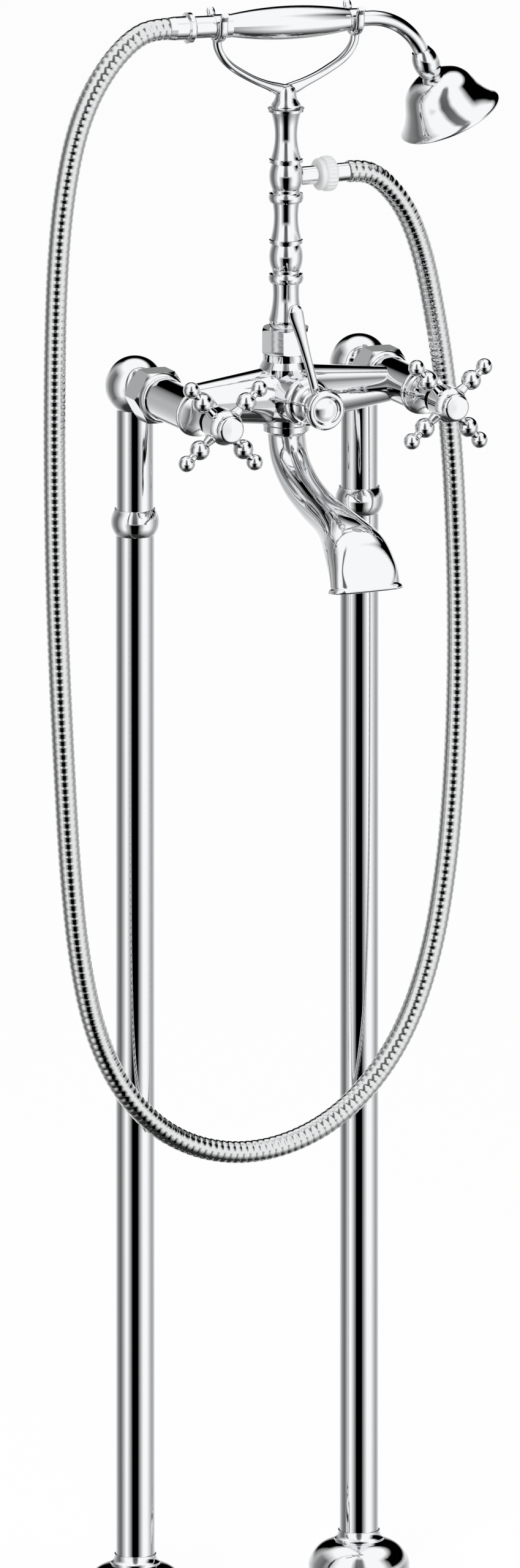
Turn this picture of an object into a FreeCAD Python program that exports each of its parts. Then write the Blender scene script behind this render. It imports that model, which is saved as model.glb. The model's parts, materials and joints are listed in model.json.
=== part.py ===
"""Floor standing bath filler: two standpipes, a mixer body with two cross handles, a lever diverter,
a bath spout and a hand shower that rests in a cradle. Millimetres, +Z up.

The origin is on the floor, midway between the two standpipes. X runs along the line of the standpipes and
-Y is the front. "Forward" below is a distance towards the front, along -Y.
"""
import FreeCAD, Part
import math
import os
import re

import Sketcher

SIZES = {
    # clearances
    "slip": 0.1,                    # between pieces that slide together and are then fixed
    "running_fit": 0.05,            # radial, between a spindle and its bore
    "rest_gap": 0.3,                # under the hand shower where it rests
    # standpipes
    "leg_spacing": 150,
    "axis_height": 760,             # floor to the axis of the valves
    "joint_drop": 84.5,               # valve axis down to the joint of the two shroud tubes
    "lower_tube_radius": 12,
    "upper_tube_radius": 11.5,
    "tube_wall": 1.2,
    "joint_ring_radius": 15,
    "joint_ring_length": 16,
    "pipe_radius": 7.5,
    "pipe_bore": 6.6,
    # floor fixing
    "flange_radius": 28,
    "flange_thickness": 5,
    "boss_length": 42,
    "inlet_depth": 20,
    "inlet_stop": 2,
    "floor_screw_radius": 2.25,
    "floor_screw_offset": 22,
    "cover_radius": 32,
    "cover_height": 26,
    "cover_wall": 1.2,
    "collar_radius": 15.3,
    "collar_height": 6,
    # elbow at the top of a standpipe
    "elbow_radius": 18.5,
    "elbow_bore": 6.2,
    "elbow_socket": 10,             # depth of the shroud tube inside the ball, above its lowest edge
    "neck_radius": 11.5,
    "mouth_radius": 14.5,
    "mouth_length": 4,
    "elbow_reach": 22.5,            # leg axis to the front of the mouth ring
    "nose_radius": 8.9,
    "nose_length": 6,
    "nose_flange_radius": 11.2,
    "nose_flange_length": 2.2,
    "washer_thickness": 2,
    "washer_bore": 6.8,
    "nut_across_flats": 31,
    "nut_hex_length": 17,
    "nut_shoulder_length": 4,
    # mixer body
    "tail_length": 25.5,            # end of the tail thread to the axis of the arms
    "tail_radius": 11.6,
    "tail_bore": 6.2,
    "barrel_radius": 13,
    "barrel_length": 35,            # axis of the arms to the front of a valve barrel
    "bead_radius": 13.9,
    "bead_length": 3.4,
    "chamber_radius": 9.6,
    "chamber_depth": 45,
    "arm_drop": 1.2,                # the arms' own axis lies so far below that of the valves
    "arm_end_radius": 10,
    "arm_root_radius": 17.4,
    "arm_root_half": 15,
    "arm_bore": 7,
    "hub_radius": 16.5,
    "hub_top": 20.6,
    "hub_bottom": 18.6,
    "hub_neck_radius": 14.4,
    "hub_neck_length": 4.2,
    "hub_thread_radius": 11.4,
    "hub_thread_length": 6,
    "hub_bore": 6.5,
    "diverter_barrel_radius": 15.4,
    "diverter_barrel_length": 34,
    "diverter_chamber_radius": 11,
    "diverter_chamber_depth": 30,
    # ceramic valve cartridges
    "seal_thickness": 2,
    "disc_radius": 7.6,
    "disc_thickness": 3,
    "cartridge_flange_radius": 11.6,
    "cartridge_flange_length": 4,
    "driver_length": 6,
    "spindle_radius": 4,
    "bonnet_length": 21,
    "bonnet_front_radius": 8.6,
    "bonnet_wall": 1.4,
    # cross handles
    "handle_gap": 2.2,              # bonnet to hub
    "handle_hub_radius": 11,
    "handle_hub_length": 22.5,
    "handle_neck_radius": 8.2,
    "handle_arm_forward": 13.4,     # back of the hub to the plane of the arms
    "handle_ball_radius": 5.1,
    "handle_ball_reach": 32,
    "handle_bead_radius": 6.2,
    "handle_bead_reach": 20.5,
    "handle_arm_radius": 2.9,
    "handle_tilt": 41,            # of the first arm above the horizontal, degrees
    "handle_pocket_radius": 6.6,
    "handle_pocket_depth": 8.5,
    "handle_web": 2.5,
    "handle_screw_radius": 1.9,
    "handle_screw_head_radius": 3.7,
    "handle_screw_head_length": 3,
    "handle_screw_length": 12,
    "cap_radius": 8.3,
    "cap_length": 4.8,
    "cap_spigot_length": 3,
    # diverter
    "diverter_bonnet_radius": 12,
    "diverter_bonnet_length": 10,
    "diverter_disc_radius": 8.4,
    "diverter_disc_thickness": 5,
    "lever_boss_radius": 8.4,
    "lever_boss_length": 8.6,
    "lever_length": 67.5,             # spindle axis to the tip
    "lever_tip_width": 10,
    "lever_root_width": 5.6,
    "lever_thickness": 4.6,
    "lever_lean": 15,               # to the left of upright, degrees
    "knob_radius": 12.4,
    "knob_length": 6,
    "knob_recess_radius": 7.6,
    "knob_recess_depth": 1.6,
    # spout
    "spout_collar_radius": 14.2,
    "spout_collar_length": 5.9,
    "spout_tail_radius": 8.8,
    "spout_tail_length": 9,
    "spout_wall": 2,
    "spout_root_radius": 11.5,
    "spout_lip": 2.6,
    "spout_reach": 114,             # riser axis to the middle of the mouth
    "spout_drop": 97,               # valve axis to the mouth
    "spout_mouth_width": 43.5,
    "spout_mouth_depth": 21,
    # riser
    "riser_nut_across_flats": 27.5,
    "riser_nut_length": 15.6,
    "riser_bore": 5,
    "riser_bore_top": 141,
    "riser_flange_length": 2.4,
    "riser_top": 176,
    "riser_tail_radius": 9,
    "riser_rim_radius": 11.2,
    "lower_vase_start": 68.5,
    "upper_vase_start": 118.4,
    "vase_length": 26.8,
    "vase_ring_radius": 10.8,
    "vase_ring_length": 5.2,
    "vase_groove_radius": 8.6,
    "vase_belly_radius": 10.4,
    "outlet_height": 133,
    # shower hose and its fittings
    "outlet_radius": 5.8,
    "outlet_bore": 3.9,
    "outlet_seat": 8.6,
    "outlet_spigot_radius": 4.8,
    "outlet_spigot_length": 3,
    "outlet_end": 24,
    "outlet_nut_start": 20.5,
    "outlet_nut_end": 31.5,
    "outlet_nut_radius": 10.8,
    "outlet_nut_collar_radius": 9.8,
    "outlet_nut_collar_length": 3.2,
    "outlet_nut_sides": 12,
    "ferrule_end": 41,
    "ferrule_radius": 5.8,
    "ferrule_flange_radius": 7.3,
    "ferrule_flange_length": 2,
    "handset_ferrule_radius": 5.2,
    "ferrule_bore": 3.7,
    "hose_radius": 6.9,
    "hose_root_radius": 6.1,
    "hose_bore": 4.2,
    "hose_rib_pitch": 7.6,
    # cradle
    "cradle_spigot_radius": 3.9,
    "cradle_spigot_length": 11,
    "cradle_foot_radius": 9.4,
    "cradle_foot_length": 8,
    "cradle_neck_radius": 8,
    "cradle_web_height": 15,         # riser top to the lowest point of the yoke's inner curve
    "cradle_thickness": 8,          # front to back
    "fork_offset": 45.5,            # riser axis to the middle of a fork
    "fork_length": 5.6,             # along the hand shower
    "fork_wall": 2.2,
    "fork_tip_radius": 2.2,
    "fork_prong_height": 9,         # above the axis of the hand shower
    # hand shower, which lies along X
    "shower_height": 228.8,         # valve axis to the axis of the hand shower, above the riser
    "shower_tilt": 2.3,             # the neck's end lies lower than the hose's end, degrees
    "tail_collar_radius": 7.5,
    "tail_collar_end": 49,
    "tail_thread_length": 9,
    "tail_end": 63,
    "grip_start": 38,
    "grip_end": 41,
    "grip_end_radius": 7,
    "grip_middle_radius": 10.5,
    "grip_bore": 4.2,
    "shower_spigot_radius": 5,
    "shower_spigot_length": 10,
    "neck_collar_radius": 6.8,
    "neck_collar_end": 49.5,
    "neck_tube_radius": 4.8,
    "neck_tube_bore": 3.3,
    "neck_bend_start": 56,
    "neck_bend_radius": 39,
    "rose_tilt": 24.5,                # of the rose's axis from the vertical, degrees
    "hose_nut_length": 16,
    "hose_nut_ring_radius": 9.5,
    "hose_nut_radius": 7.4,
    "hose_nut_bore": 6.2,
    "rose_nut_length": 17.5,
    "rose_nut_radius": 8.4,
    "rose_thread_radius": 4.5,
    "rose_thread_length": 7,
    "bell_height": 30,
    "bell_radius": 32.5,
    "bell_shoulder_radius": 22.5,
    "bell_wall": 1.5,
    "faceplate_radius": 25.5,
    "faceplate_thickness": 2,
    "faceplate_inset": 2.5,
    "spray_hole_radius": 0.8,
}

# The route of the shower hose in the plane of the riser: distance right of the riser and above the valve
# axis. It leaves the hand shower at the left, hangs in one loop and climbs to the riser's outlet.
HOSE_ROUTE = [
    (-79, 232), (-90, 232.44), (-101, 228), (-111.5, 219.5), (-121.5, 208), (-131, 193), (-138.7, 174.5),
    (-144.7, 151), (-149.5, 121), (-152.6, 83), (-154, 38), (-154.4, -12), (-154, -64), (-152.8, -118),
    (-150.6, -171), (-147.6, -228), (-144, -287), (-138, -342), (-126.5, -391), (-105, -431.5), (-71, -460.5),
    (-30, -472), (12, -466), (49, -444.5), (79, -408), (97.5, -359.5), (107.5, -306), (112.5, -250),
    (114.8, -196), (115, -146), (113.8, -99), (111.8, -57), (108.3, -19), (103.8, 15), (98.3, 45.5),
    (93.3, 69.5), (88.2, 86.8), (82.3, 101.3), (75.8, 112.3), (68.5, 121.2), (60.8, 128.3), (51.4, 132.8),
    (41, 133),
]

doc = FreeCAD.newDocument("BathFiller")
sheet = doc.addObject("Spreadsheet::Sheet", "Sizes")
for row, (alias, number) in enumerate(SIZES.items(), start=1):
    sheet.set(f"A{row}", alias)
    sheet.set(f"B{row}", str(number))
    sheet.setAlias(f"B{row}", alias)
doc.recompute()

pieces = {}
UP = (0, 0, 1, 0)
FRONT = (1, 0, 0, 90)
RIGHT = (0, 1, 0, 90)
LEFT = (0, 1, 0, -90)


def bound(text):
    """The text with every alias written as the sheet's own cell."""
    return re.sub(r"[a-z][a-z_]+", lambda m: f"Sizes.{m[0]}" if m[0] in SIZES else m[0], str(text))


def size(text):
    """The number that an expression of sizes has now."""
    return float(sheet.evalExpression(bound(text)))


def crown(half_chord, rise):
    """The radius of an arc that rises so far above the middle of its chord."""
    return f"((({half_chord}) ^ 2 + ({rise}) ^ 2) / (2 * ({rise})))"


def place(item, at=("0", "0", "0"), turn=UP):
    """Puts an object at three expressions. The turn is an axis and an angle, which may be an expression."""
    axis_x, axis_y, axis_z, angle = turn
    item.Placement = FreeCAD.Placement(
        FreeCAD.Vector(*[size(a) for a in at]),
        FreeCAD.Rotation(FreeCAD.Vector(axis_x, axis_y, axis_z), size(angle)))
    for letter, text in zip("xyz", at):
        item.setExpression(f"Placement.Base.{letter}", bound(text))
    if isinstance(angle, str):
        item.setExpression("Placement.Rotation.Angle", bound(angle))
    return item


def sketch_on(body, role, outline, name):
    """A closed, fully bound outline. A point is (across, up), and a third value makes the edge that leads to
    the next point an arc of that radius, which bulges away from the line across = 0 if it is positive."""
    sketch = body.newObject("Sketcher::SketchObject", name)
    plane = [f for f in body.Origin.OriginFeatures if f.Role == role][0]
    sketch.AttachmentSupport = [(plane, "")]
    sketch.MapMode = "FlatFace"
    spots = [FreeCAD.Vector(size(p[0]), size(p[1]), 0) for p in outline]
    starts = []
    for i, point in enumerate(outline):
        here, there = spots[i], spots[(i + 1) % len(spots)]
        if len(point) == 3:
            radius = size(point[2])
            half = (there - here) * 0.5
            middle = here + half
            normal = FreeCAD.Vector(-half.y, half.x, 0).normalize()
            outwards = normal.x * middle.x
            if (outwards if abs(outwards) > 1e-9 else normal.y) < 0:
                normal = normal * -1
            rise = math.copysign(abs(radius) - math.sqrt(radius ** 2 - half.Length ** 2), radius)
            edge = sketch.addGeometry(Part.Arc(here, middle + normal * rise, there))
            starts.append(1 if sketch.getPoint(edge, 1).isEqual(here, 1e-6) else 2)
        else:
            sketch.addGeometry(Part.LineSegment(here, there))
            starts.append(1)
    for i, point in enumerate(outline):
        after = (i + 1) % len(outline)
        sketch.addConstraint(Sketcher.Constraint("Coincident", i, 3 - starts[i], after, starts[after]))
        for kind, text, axis in (("DistanceX", point[0], -2), ("DistanceY", point[1], -1)):
            if str(text) == "0":
                sketch.addConstraint(Sketcher.Constraint("PointOnObject", i, starts[i], axis))
                continue
            at = sketch.addConstraint(Sketcher.Constraint(kind, -1, 1, i, starts[i], size(text)))
            sketch.setExpression(f"Constraints[{at}]", bound(text))
        if len(point) == 3:
            at = sketch.addConstraint(Sketcher.Constraint("Radius", i, abs(size(point[2]))))
            sketch.setExpression(f"Constraints[{at}]", bound(f"abs({point[2]})"))
    return sketch


def turned(name, outline, at=("0", "0", "0"), turn=UP):
    """A lathe-turned piece. Its outline is a list of (along, radius[, radius of the arc to the next])."""
    body = doc.addObject("PartDesign::Body", name)
    swapped = [(p[1], p[0], *p[2:]) for p in outline]
    sketch = sketch_on(body, "XZ_Plane", swapped, f"{name}_outline")
    spin = body.newObject("PartDesign::Revolution", f"{name}_spin")
    spin.Profile = sketch
    spin.ReferenceAxis = (sketch, ["V_Axis"])
    spin.Angle = 360
    return place(body, at, turn)


def rod(name, start, end, radius, at=("0", "0", "0"), turn=UP):
    return turned(name, [(start, "0"), (start, radius), (end, radius), (end, "0")], at, turn)


def ring(name, start, end, bore, radius, at=("0", "0", "0"), turn=UP):
    return turned(name, [(start, bore), (start, radius), (end, radius), (end, bore)], at, turn)


def slab(name, role, outline, thickness):
    """An outline padded by half the thickness to both sides of its plane."""
    body = doc.addObject("PartDesign::Body", name)
    pad = body.newObject("PartDesign::Pad", f"{name}_pad")
    pad.Profile = sketch_on(body, role, outline, f"{name}_outline")
    pad.Midplane = True
    pad.setExpression("Length", bound(thickness))
    return body


def ball(name, radius, at=("0", "0", "0")):
    item = doc.addObject("Part::Sphere", name)
    item.setExpression("Radius", bound(radius))
    return place(item, at)


def fused(name, shapes):
    item = doc.addObject("Part::MultiFuse", name)
    item.Shapes = shapes
    return item


def cut(name, base, tool):
    item = doc.addObject("Part::Cut", name)
    item.Base = base
    item.Tool = tool
    return item


def common(name, base, tool):
    item = doc.addObject("Part::Common", name)
    item.Base = base
    item.Tool = tool
    return item


def prism(name, across_flats, start, length, sides="6"):
    """A bar of regular section along the local Z axis."""
    item = doc.addObject("Part::Prism", name)
    item.setExpression("Polygon", bound(sides))
    item.setExpression("Circumradius", bound(f"{across_flats} / 2 / cos(180 / ({sides}))"))
    item.setExpression("Height", bound(length))
    return place(item, ("0", "0", start), UP)


def keep(name, item, at=None, turn=UP):
    """Makes an object one of the filler's pieces, under the name that its file gets."""
    item.Label = name
    if at is not None:
        place(item, at, turn)
    pieces[name] = item
    return item


# Places that several pieces share: the joint of the tubes, then the stack from a standpipe to the front.
JOINT = "(axis_height - joint_drop)"
WASHER_BACK = "(elbow_reach + nose_length)"
TAIL_BACK = f"({WASHER_BACK} + washer_thickness)"
ARMS = f"({TAIL_BACK} + tail_length)"                       # the axis of the mixer's arms
BARREL_FRONT = "barrel_length"                              # from here on, forward of the arms
SEAL_BACK = "(barrel_length - chamber_depth)"
DISC_BACK = f"({SEAL_BACK} + seal_thickness)"
MOVING_BACK = f"({DISC_BACK} + disc_thickness)"
DRIVER_BACK = f"({MOVING_BACK} + disc_thickness)"
DRIVER_FRONT = f"({DRIVER_BACK} + driver_length)"
FLANGE_FRONT = f"({BARREL_FRONT} + cartridge_flange_length)"
BONNET_FRONT = f"({BARREL_FRONT} + bonnet_length)"
HANDLE_BACK = f"({BONNET_FRONT} + handle_gap)"
HANDLE_FRONT = f"({HANDLE_BACK} + handle_hub_length)"
POCKET_BACK = f"({HANDLE_FRONT} - handle_pocket_depth)"
WEB_BACK = f"({POCKET_BACK} - handle_web)"
RISER = ("0", f"-{ARMS}", "axis_height")                    # where the riser's axis meets the arms' axis
CHAMBER_BORE = "chamber_radius - slip"
TUBE_INSIDE = "(lower_tube_radius - tube_wall)"
NUT_BOTTOM = "(hub_top + hub_neck_length)"                  # above the valve axis, as the next ones
THREAD_TOP = f"({NUT_BOTTOM} + hub_thread_length)"
SHOWER_RIGHT = (0, 1, 0, "90 + shower_tilt")                # along the hand shower, towards the rose
SHOWER_LEFT = (0, 1, 0, "shower_tilt - 90")
NECK_REACH = "(neck_bend_start + neck_bend_radius * cos(rose_tilt + shower_tilt))"
NECK_DROP = "(neck_bend_radius * (sin(rose_tilt + shower_tilt) - 1))"
ROSE_TURN = (0, 1, 0, "180 - rose_tilt")
SIDES = (("left", -1), ("right", 1))

# The spout's sections: shares of its reach and drop, the heading in degrees below the horizontal, the half
# width, the half depth and how square the section is.
SPOUT_SECTIONS = [
    (0.0, 0.0, 90, "spout_root_radius", "spout_root_radius", 2),
    (0.045, 0.21, 64, "spout_root_radius", "spout_root_radius", 2),
    (0.18, 0.39, 36, "spout_root_radius", "spout_root_radius - 0.2", 2),
    (0.4, 0.52, 21, "spout_root_radius + 0.4", "spout_root_radius - 0.4", 2),
    (0.65, 0.6, 24, "spout_root_radius + 2.6", "spout_root_radius - 0.2", 2.2),
    (0.86, 0.71, 47, "spout_mouth_width / 2 - 3", "spout_mouth_depth / 2 + 1.4", 2.5),
    (0.965, 0.86, 70, "spout_mouth_width / 2 - 1", "spout_mouth_depth / 2 + 0.2", 2.8),
    (1.0, 1.0, 80, "spout_mouth_width / 2", "spout_mouth_depth / 2", 3),
]
SPOUT_POINTS = 16
LIP_SHAPE = ((0, 0), (0.3, 0.5), (0.9, 0.7), (1.4, 0.4))    # ahead and outwards, in shares of the lip
SPRAY_RINGS = (6, 12, 18)
HOSE_ROUNDING = 0.45            # of the shorter run beside a corner, where the arc starts
RIB_SHAPE = (
    (0.1, "hose_root_radius"), (0.3, "hose_radius"), (0.72, "hose_radius"), (0.92, "hose_root_radius"))


def standpipe(side, sign):
    """The pieces of one leg, from the floor to the union nut, and the valve that it feeds."""
    x = f"{sign} * leg_spacing / 2"
    foot = (x, "0", "0")
    top = (x, "0", "axis_height")
    boss = f"{TUBE_INSIDE} - slip"
    inlet = "pipe_radius + slip"

    plate = turned(f"{side}_plate", [
        ("0", inlet), ("0", "flange_radius"), ("flange_thickness", "flange_radius"),
        ("flange_thickness", boss), ("boss_length", boss), ("boss_length", inlet),
        ("inlet_depth + inlet_stop", inlet), ("inlet_depth + inlet_stop", "pipe_bore"),
        ("inlet_depth", "pipe_bore"), ("inlet_depth", inlet)])
    holes = [rod(f"{side}_floor_hole_{i}", "-1", "flange_thickness + 1", "floor_screw_radius",
                 ("0", f"{way} * floor_screw_offset", "0")) for i, way in enumerate((-1, 1))]
    keep(f"{side}_floor_flange",
         cut(f"{side}_drilled_plate", plate, fused(f"{side}_floor_holes", holes)), foot)

    sleeve = "lower_tube_radius + slip"
    keep(f"{side}_flange_cover", turned(f"{side}_cover", [
        ("0", "cover_radius - cover_wall"), ("0", "cover_radius"),
        ("cover_height * 0.45", "cover_radius - 0.6", "cover_radius * 0.55"),
        ("cover_height", "collar_radius"), ("cover_height", sleeve),
        ("cover_height - cover_wall", sleeve),
        ("cover_height - cover_wall", "collar_radius - 1", "cover_radius * 0.55 - cover_wall"),
        ("cover_height * 0.45", "cover_radius - 0.6 - cover_wall")]), foot)
    keep(f"{side}_cover_collar", turned(f"{side}_collar", [
        ("cover_height", sleeve), ("cover_height", "collar_radius"),
        ("cover_height + 1.4", "collar_radius", "-collar_height"),
        ("cover_height + collar_height", "lower_tube_radius + 0.8"),
        ("cover_height + collar_height", sleeve)]), foot)

    keep(f"{side}_lower_tube", ring(
        f"{side}_lower", "flange_thickness", JOINT, TUBE_INSIDE, "lower_tube_radius"), foot)
    elbow_bottom = "sqrt(elbow_radius ^ 2 - (upper_tube_radius + slip) ^ 2)"
    tube_top = f"axis_height - {elbow_bottom} + elbow_socket"
    keep(f"{side}_upper_tube", ring(
        f"{side}_upper", JOINT, tube_top, "upper_tube_radius - tube_wall",
        "upper_tube_radius"), foot)
    half = "joint_ring_length / 2"
    crest = crown(half, "joint_ring_radius - lower_tube_radius - 0.4")
    keep(f"{side}_joint_ring", turned(f"{side}_ring", [
        (f"{JOINT} - {half}", "lower_tube_radius + slip"),
        (f"{JOINT} - {half}", "lower_tube_radius + 0.4", crest),
        (f"{JOINT} + {half}", "lower_tube_radius + 0.4"),
        (f"{JOINT} + {half}", "upper_tube_radius + slip"),
        (JOINT, "upper_tube_radius + slip"),
        (JOINT, "lower_tube_radius + slip")]), foot)
    keep(f"{side}_supply_pipe", ring(
        f"{side}_pipe", "inlet_depth + inlet_stop", f"{tube_top} + 2", "pipe_bore", "pipe_radius"), foot)

    knuckle = ball(f"{side}_ball", "elbow_radius")
    neck = turned(f"{side}_neck", [
        ("0", "0"), ("0", "neck_radius"), ("elbow_reach - mouth_length", "neck_radius"),
        ("elbow_reach - mouth_length", "mouth_radius - 0.8"),
        ("elbow_reach - mouth_length + 0.8", "mouth_radius"), ("elbow_reach", "mouth_radius"),
        ("elbow_reach", "nose_radius"),
        (f"{WASHER_BACK} - nose_flange_length", "nose_radius"),
        (f"{WASHER_BACK} - nose_flange_length", "nose_flange_radius"),
        (WASHER_BACK, "nose_flange_radius"), (WASHER_BACK, "0")], turn=FRONT)
    socket = turned(f"{side}_socket", [
        ("-elbow_radius - 1", "0"), ("-elbow_radius - 1", "upper_tube_radius + slip"),
        (f"elbow_socket - {elbow_bottom}", "upper_tube_radius + slip"),
        (f"elbow_socket - {elbow_bottom}", inlet), (f"elbow_socket + 2 - {elbow_bottom}", inlet),
        (f"elbow_socket + 2 - {elbow_bottom}", "elbow_bore"), ("0", "elbow_bore"), ("0", "0")])
    turning = ball(f"{side}_turning", "elbow_bore")
    mouth = rod(f"{side}_mouth_bore", "0", f"{WASHER_BACK} + 1", "elbow_bore", turn=FRONT)
    keep(f"{side}_elbow", cut(
        f"{side}_bored_elbow", fused(f"{side}_solid_elbow", [knuckle, neck]),
        fused(f"{side}_elbow_bores", [socket, turning, mouth])), top)

    hex_back = "elbow_reach + 0.4"
    hex_front = f"({hex_back} + nut_hex_length)"
    flats = "nut_across_flats / 2"
    blank = turned(f"{side}_nut_blank", [
        (hex_back, "nose_radius + slip"), (hex_back, flats),
        (f"{hex_back} + 1.6", "nut_across_flats * 0.58"),
        (f"{hex_front} - 1.6", "nut_across_flats * 0.58"), (hex_front, flats, "nut_shoulder_length * 1.6"),
        (f"{hex_front} + nut_shoulder_length", "barrel_radius + 0.6"),
        (f"{hex_front} + nut_shoulder_length", "tail_radius + slip"),
        (f"{WASHER_BACK} - nose_flange_length", "tail_radius + slip"),
        (f"{WASHER_BACK} - nose_flange_length", "nose_radius + slip")])
    bar = prism(f"{side}_nut_bar", "nut_across_flats", hex_back, "nut_hex_length + nut_shoulder_length")
    keep(f"{side}_union_nut", common(f"{side}_nut", blank, bar), top, FRONT)


def valve(side, sign):
    """A quarter-turn ceramic valve, its bonnet and its cross handle, forward of the arms' axis."""
    axis = (f"{sign} * leg_spacing / 2", f"-{ARMS}", "axis_height")
    window = "arm_bore - 1"
    sleeve = turned(f"{side}_sleeve", [
        (MOVING_BACK, "disc_radius + slip"), (MOVING_BACK, CHAMBER_BORE), (BARREL_FRONT, CHAMBER_BORE),
        (BARREL_FRONT, "cartridge_flange_radius"), (FLANGE_FRONT, "cartridge_flange_radius"),
        (FLANGE_FRONT, "spindle_radius + running_fit"), (DRIVER_FRONT, "spindle_radius + running_fit"),
        (DRIVER_FRONT, "disc_radius + slip")], turn=FRONT)
    port = rod(f"{side}_port", "-chamber_radius * 1.5", "chamber_radius * 1.5", window,
               turn=RIGHT)
    keep(f"{side}_cartridge", cut(f"{side}_sleeve_with_port", sleeve, port), axis)

    disc = ring(f"{side}_disc_blank", MOVING_BACK, DRIVER_BACK, "1", "disc_radius")
    ports = [rod(f"{side}_disc_port_{i}", f"{MOVING_BACK} - 1", f"{DRIVER_BACK} + 1", "disc_radius * 0.3",
                 (f"{way} * disc_radius * 0.52", "0", "0")) for i, way in enumerate((-1, 1))]
    keep(f"{side}_moving_disc", cut(
        f"{side}_ported_disc", disc, fused(f"{side}_disc_ports", ports)), axis, FRONT)
    keep(f"{side}_spindle", turned(f"{side}_spindle_blank", [
        (DRIVER_BACK, "0"), (DRIVER_BACK, "disc_radius"), (DRIVER_FRONT, "disc_radius"),
        (DRIVER_FRONT, "spindle_radius"), (WEB_BACK, "spindle_radius"),
        (WEB_BACK, "handle_screw_radius"),
        (f"{POCKET_BACK} - handle_screw_length", "handle_screw_radius"),
        (f"{POCKET_BACK} - handle_screw_length", "0")]), axis, FRONT)
    keep(f"{side}_bonnet", turned(f"{side}_bonnet_shell", [
        (BARREL_FRONT, "cartridge_flange_radius + slip"), (BARREL_FRONT, "barrel_radius"),
        (f"{FLANGE_FRONT} - 1", "barrel_radius", "-barrel_length * 0.8"),
        (f"{BONNET_FRONT} - 3", "bonnet_front_radius"), (BONNET_FRONT, "bonnet_front_radius"),
        (BONNET_FRONT, "spindle_radius + rest_gap"),
        (f"{BONNET_FRONT} - bonnet_wall", "spindle_radius + rest_gap"),
        (f"{BONNET_FRONT} - bonnet_wall", "bonnet_front_radius - bonnet_wall"),
        (FLANGE_FRONT, "cartridge_flange_radius - bonnet_wall"),
        (FLANGE_FRONT, "cartridge_flange_radius + slip")]), axis, FRONT)
    cross_handle(side, axis)


def cross_handle(side, axis):
    pocket = "handle_pocket_radius"
    hub = turned(f"{side}_handle_hub", [
        (HANDLE_BACK, "spindle_radius + running_fit"), (HANDLE_BACK, "handle_neck_radius - 0.6"),
        (f"{HANDLE_BACK} + 1", "handle_neck_radius"), (f"{HANDLE_BACK} + 3", "handle_neck_radius", "-9"),
        (f"{HANDLE_BACK} + 7.5", "handle_hub_radius"),
        (f"{HANDLE_FRONT} - 4", "handle_hub_radius", "handle_hub_radius"),
        (HANDLE_FRONT, "cap_radius"), (HANDLE_FRONT, pocket), (POCKET_BACK, pocket),
        (POCKET_BACK, "handle_screw_radius + slip"), (WEB_BACK, "handle_screw_radius + slip"),
        (WEB_BACK, "spindle_radius + running_fit")])
    start = "handle_hub_radius - 2"
    bead = "handle_bead_radius"
    tip = "handle_ball_radius"
    waist = f"sqrt({bead} ^ 2 - (handle_arm_radius * 0.9) ^ 2)"
    tip_waist = f"sqrt({tip} ^ 2 - (handle_arm_radius * 0.9) ^ 2)"
    arms = []
    for i in range(4):
        arm = turned(f"{side}_handle_arm_{i}", [
            (start, "0"), (start, "handle_arm_radius + 0.9"),
            (f"handle_bead_reach - {waist}", "handle_arm_radius * 0.9", bead),
            (f"handle_bead_reach + {waist}", "handle_arm_radius * 0.9"),
            (f"handle_ball_reach - {tip_waist}", "handle_arm_radius * 0.9", tip),
            (f"handle_ball_reach + {tip}", "0")])
        arms.append(place(arm, ("0", "0", f"{HANDLE_BACK} + handle_arm_forward"), UP))
        way = FreeCAD.Rotation(FreeCAD.Vector(0, 0, 1), size("handle_tilt") + 90 * i)
        arm.Placement.Rotation = way.multiply(FreeCAD.Rotation(FreeCAD.Vector(0, 1, 0), 90))
    solid = fused(f"{side}_handle_cross", [hub, *arms])
    bore = rod(f"{side}_handle_bore", HANDLE_BACK, WEB_BACK, "spindle_radius + running_fit")
    well = rod(f"{side}_handle_well", POCKET_BACK, HANDLE_FRONT, pocket)
    keep(f"{side}_cross_handle",
         cut(f"{side}_handle", solid, fused(f"{side}_handle_voids", [bore, well])), axis, FRONT)
    keep(f"{side}_handle_screw", turned(f"{side}_screw", [
        (f"{POCKET_BACK} - handle_screw_length + 0.5", "0"),
        (f"{POCKET_BACK} - handle_screw_length + 0.5", "handle_screw_radius - running_fit"),
        (POCKET_BACK, "handle_screw_radius - running_fit"), (POCKET_BACK, "handle_screw_head_radius"),
        (f"{POCKET_BACK} + handle_screw_head_length", "handle_screw_head_radius"),
        (f"{POCKET_BACK} + handle_screw_head_length", "1.4"),
        (f"{POCKET_BACK} + handle_screw_head_length * 0.5", "1.4"),
        (f"{POCKET_BACK} + handle_screw_head_length * 0.5", "0")]), axis, FRONT)
    keep(f"{side}_handle_cap", turned(f"{side}_cap", [
        (f"{HANDLE_FRONT} - cap_spigot_length", "0"),
        (f"{HANDLE_FRONT} - cap_spigot_length", f"{pocket} - running_fit"),
        (HANDLE_FRONT, f"{pocket} - running_fit"), (HANDLE_FRONT, "cap_radius"),
        (f"{HANDLE_FRONT} + cap_length - 1.6", "cap_radius", "2.4"),
        (f"{HANDLE_FRONT} + cap_length - 0.3", "cap_radius - 1.9"),
        (f"{HANDLE_FRONT} + cap_length", "0")]), axis, FRONT)


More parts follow.
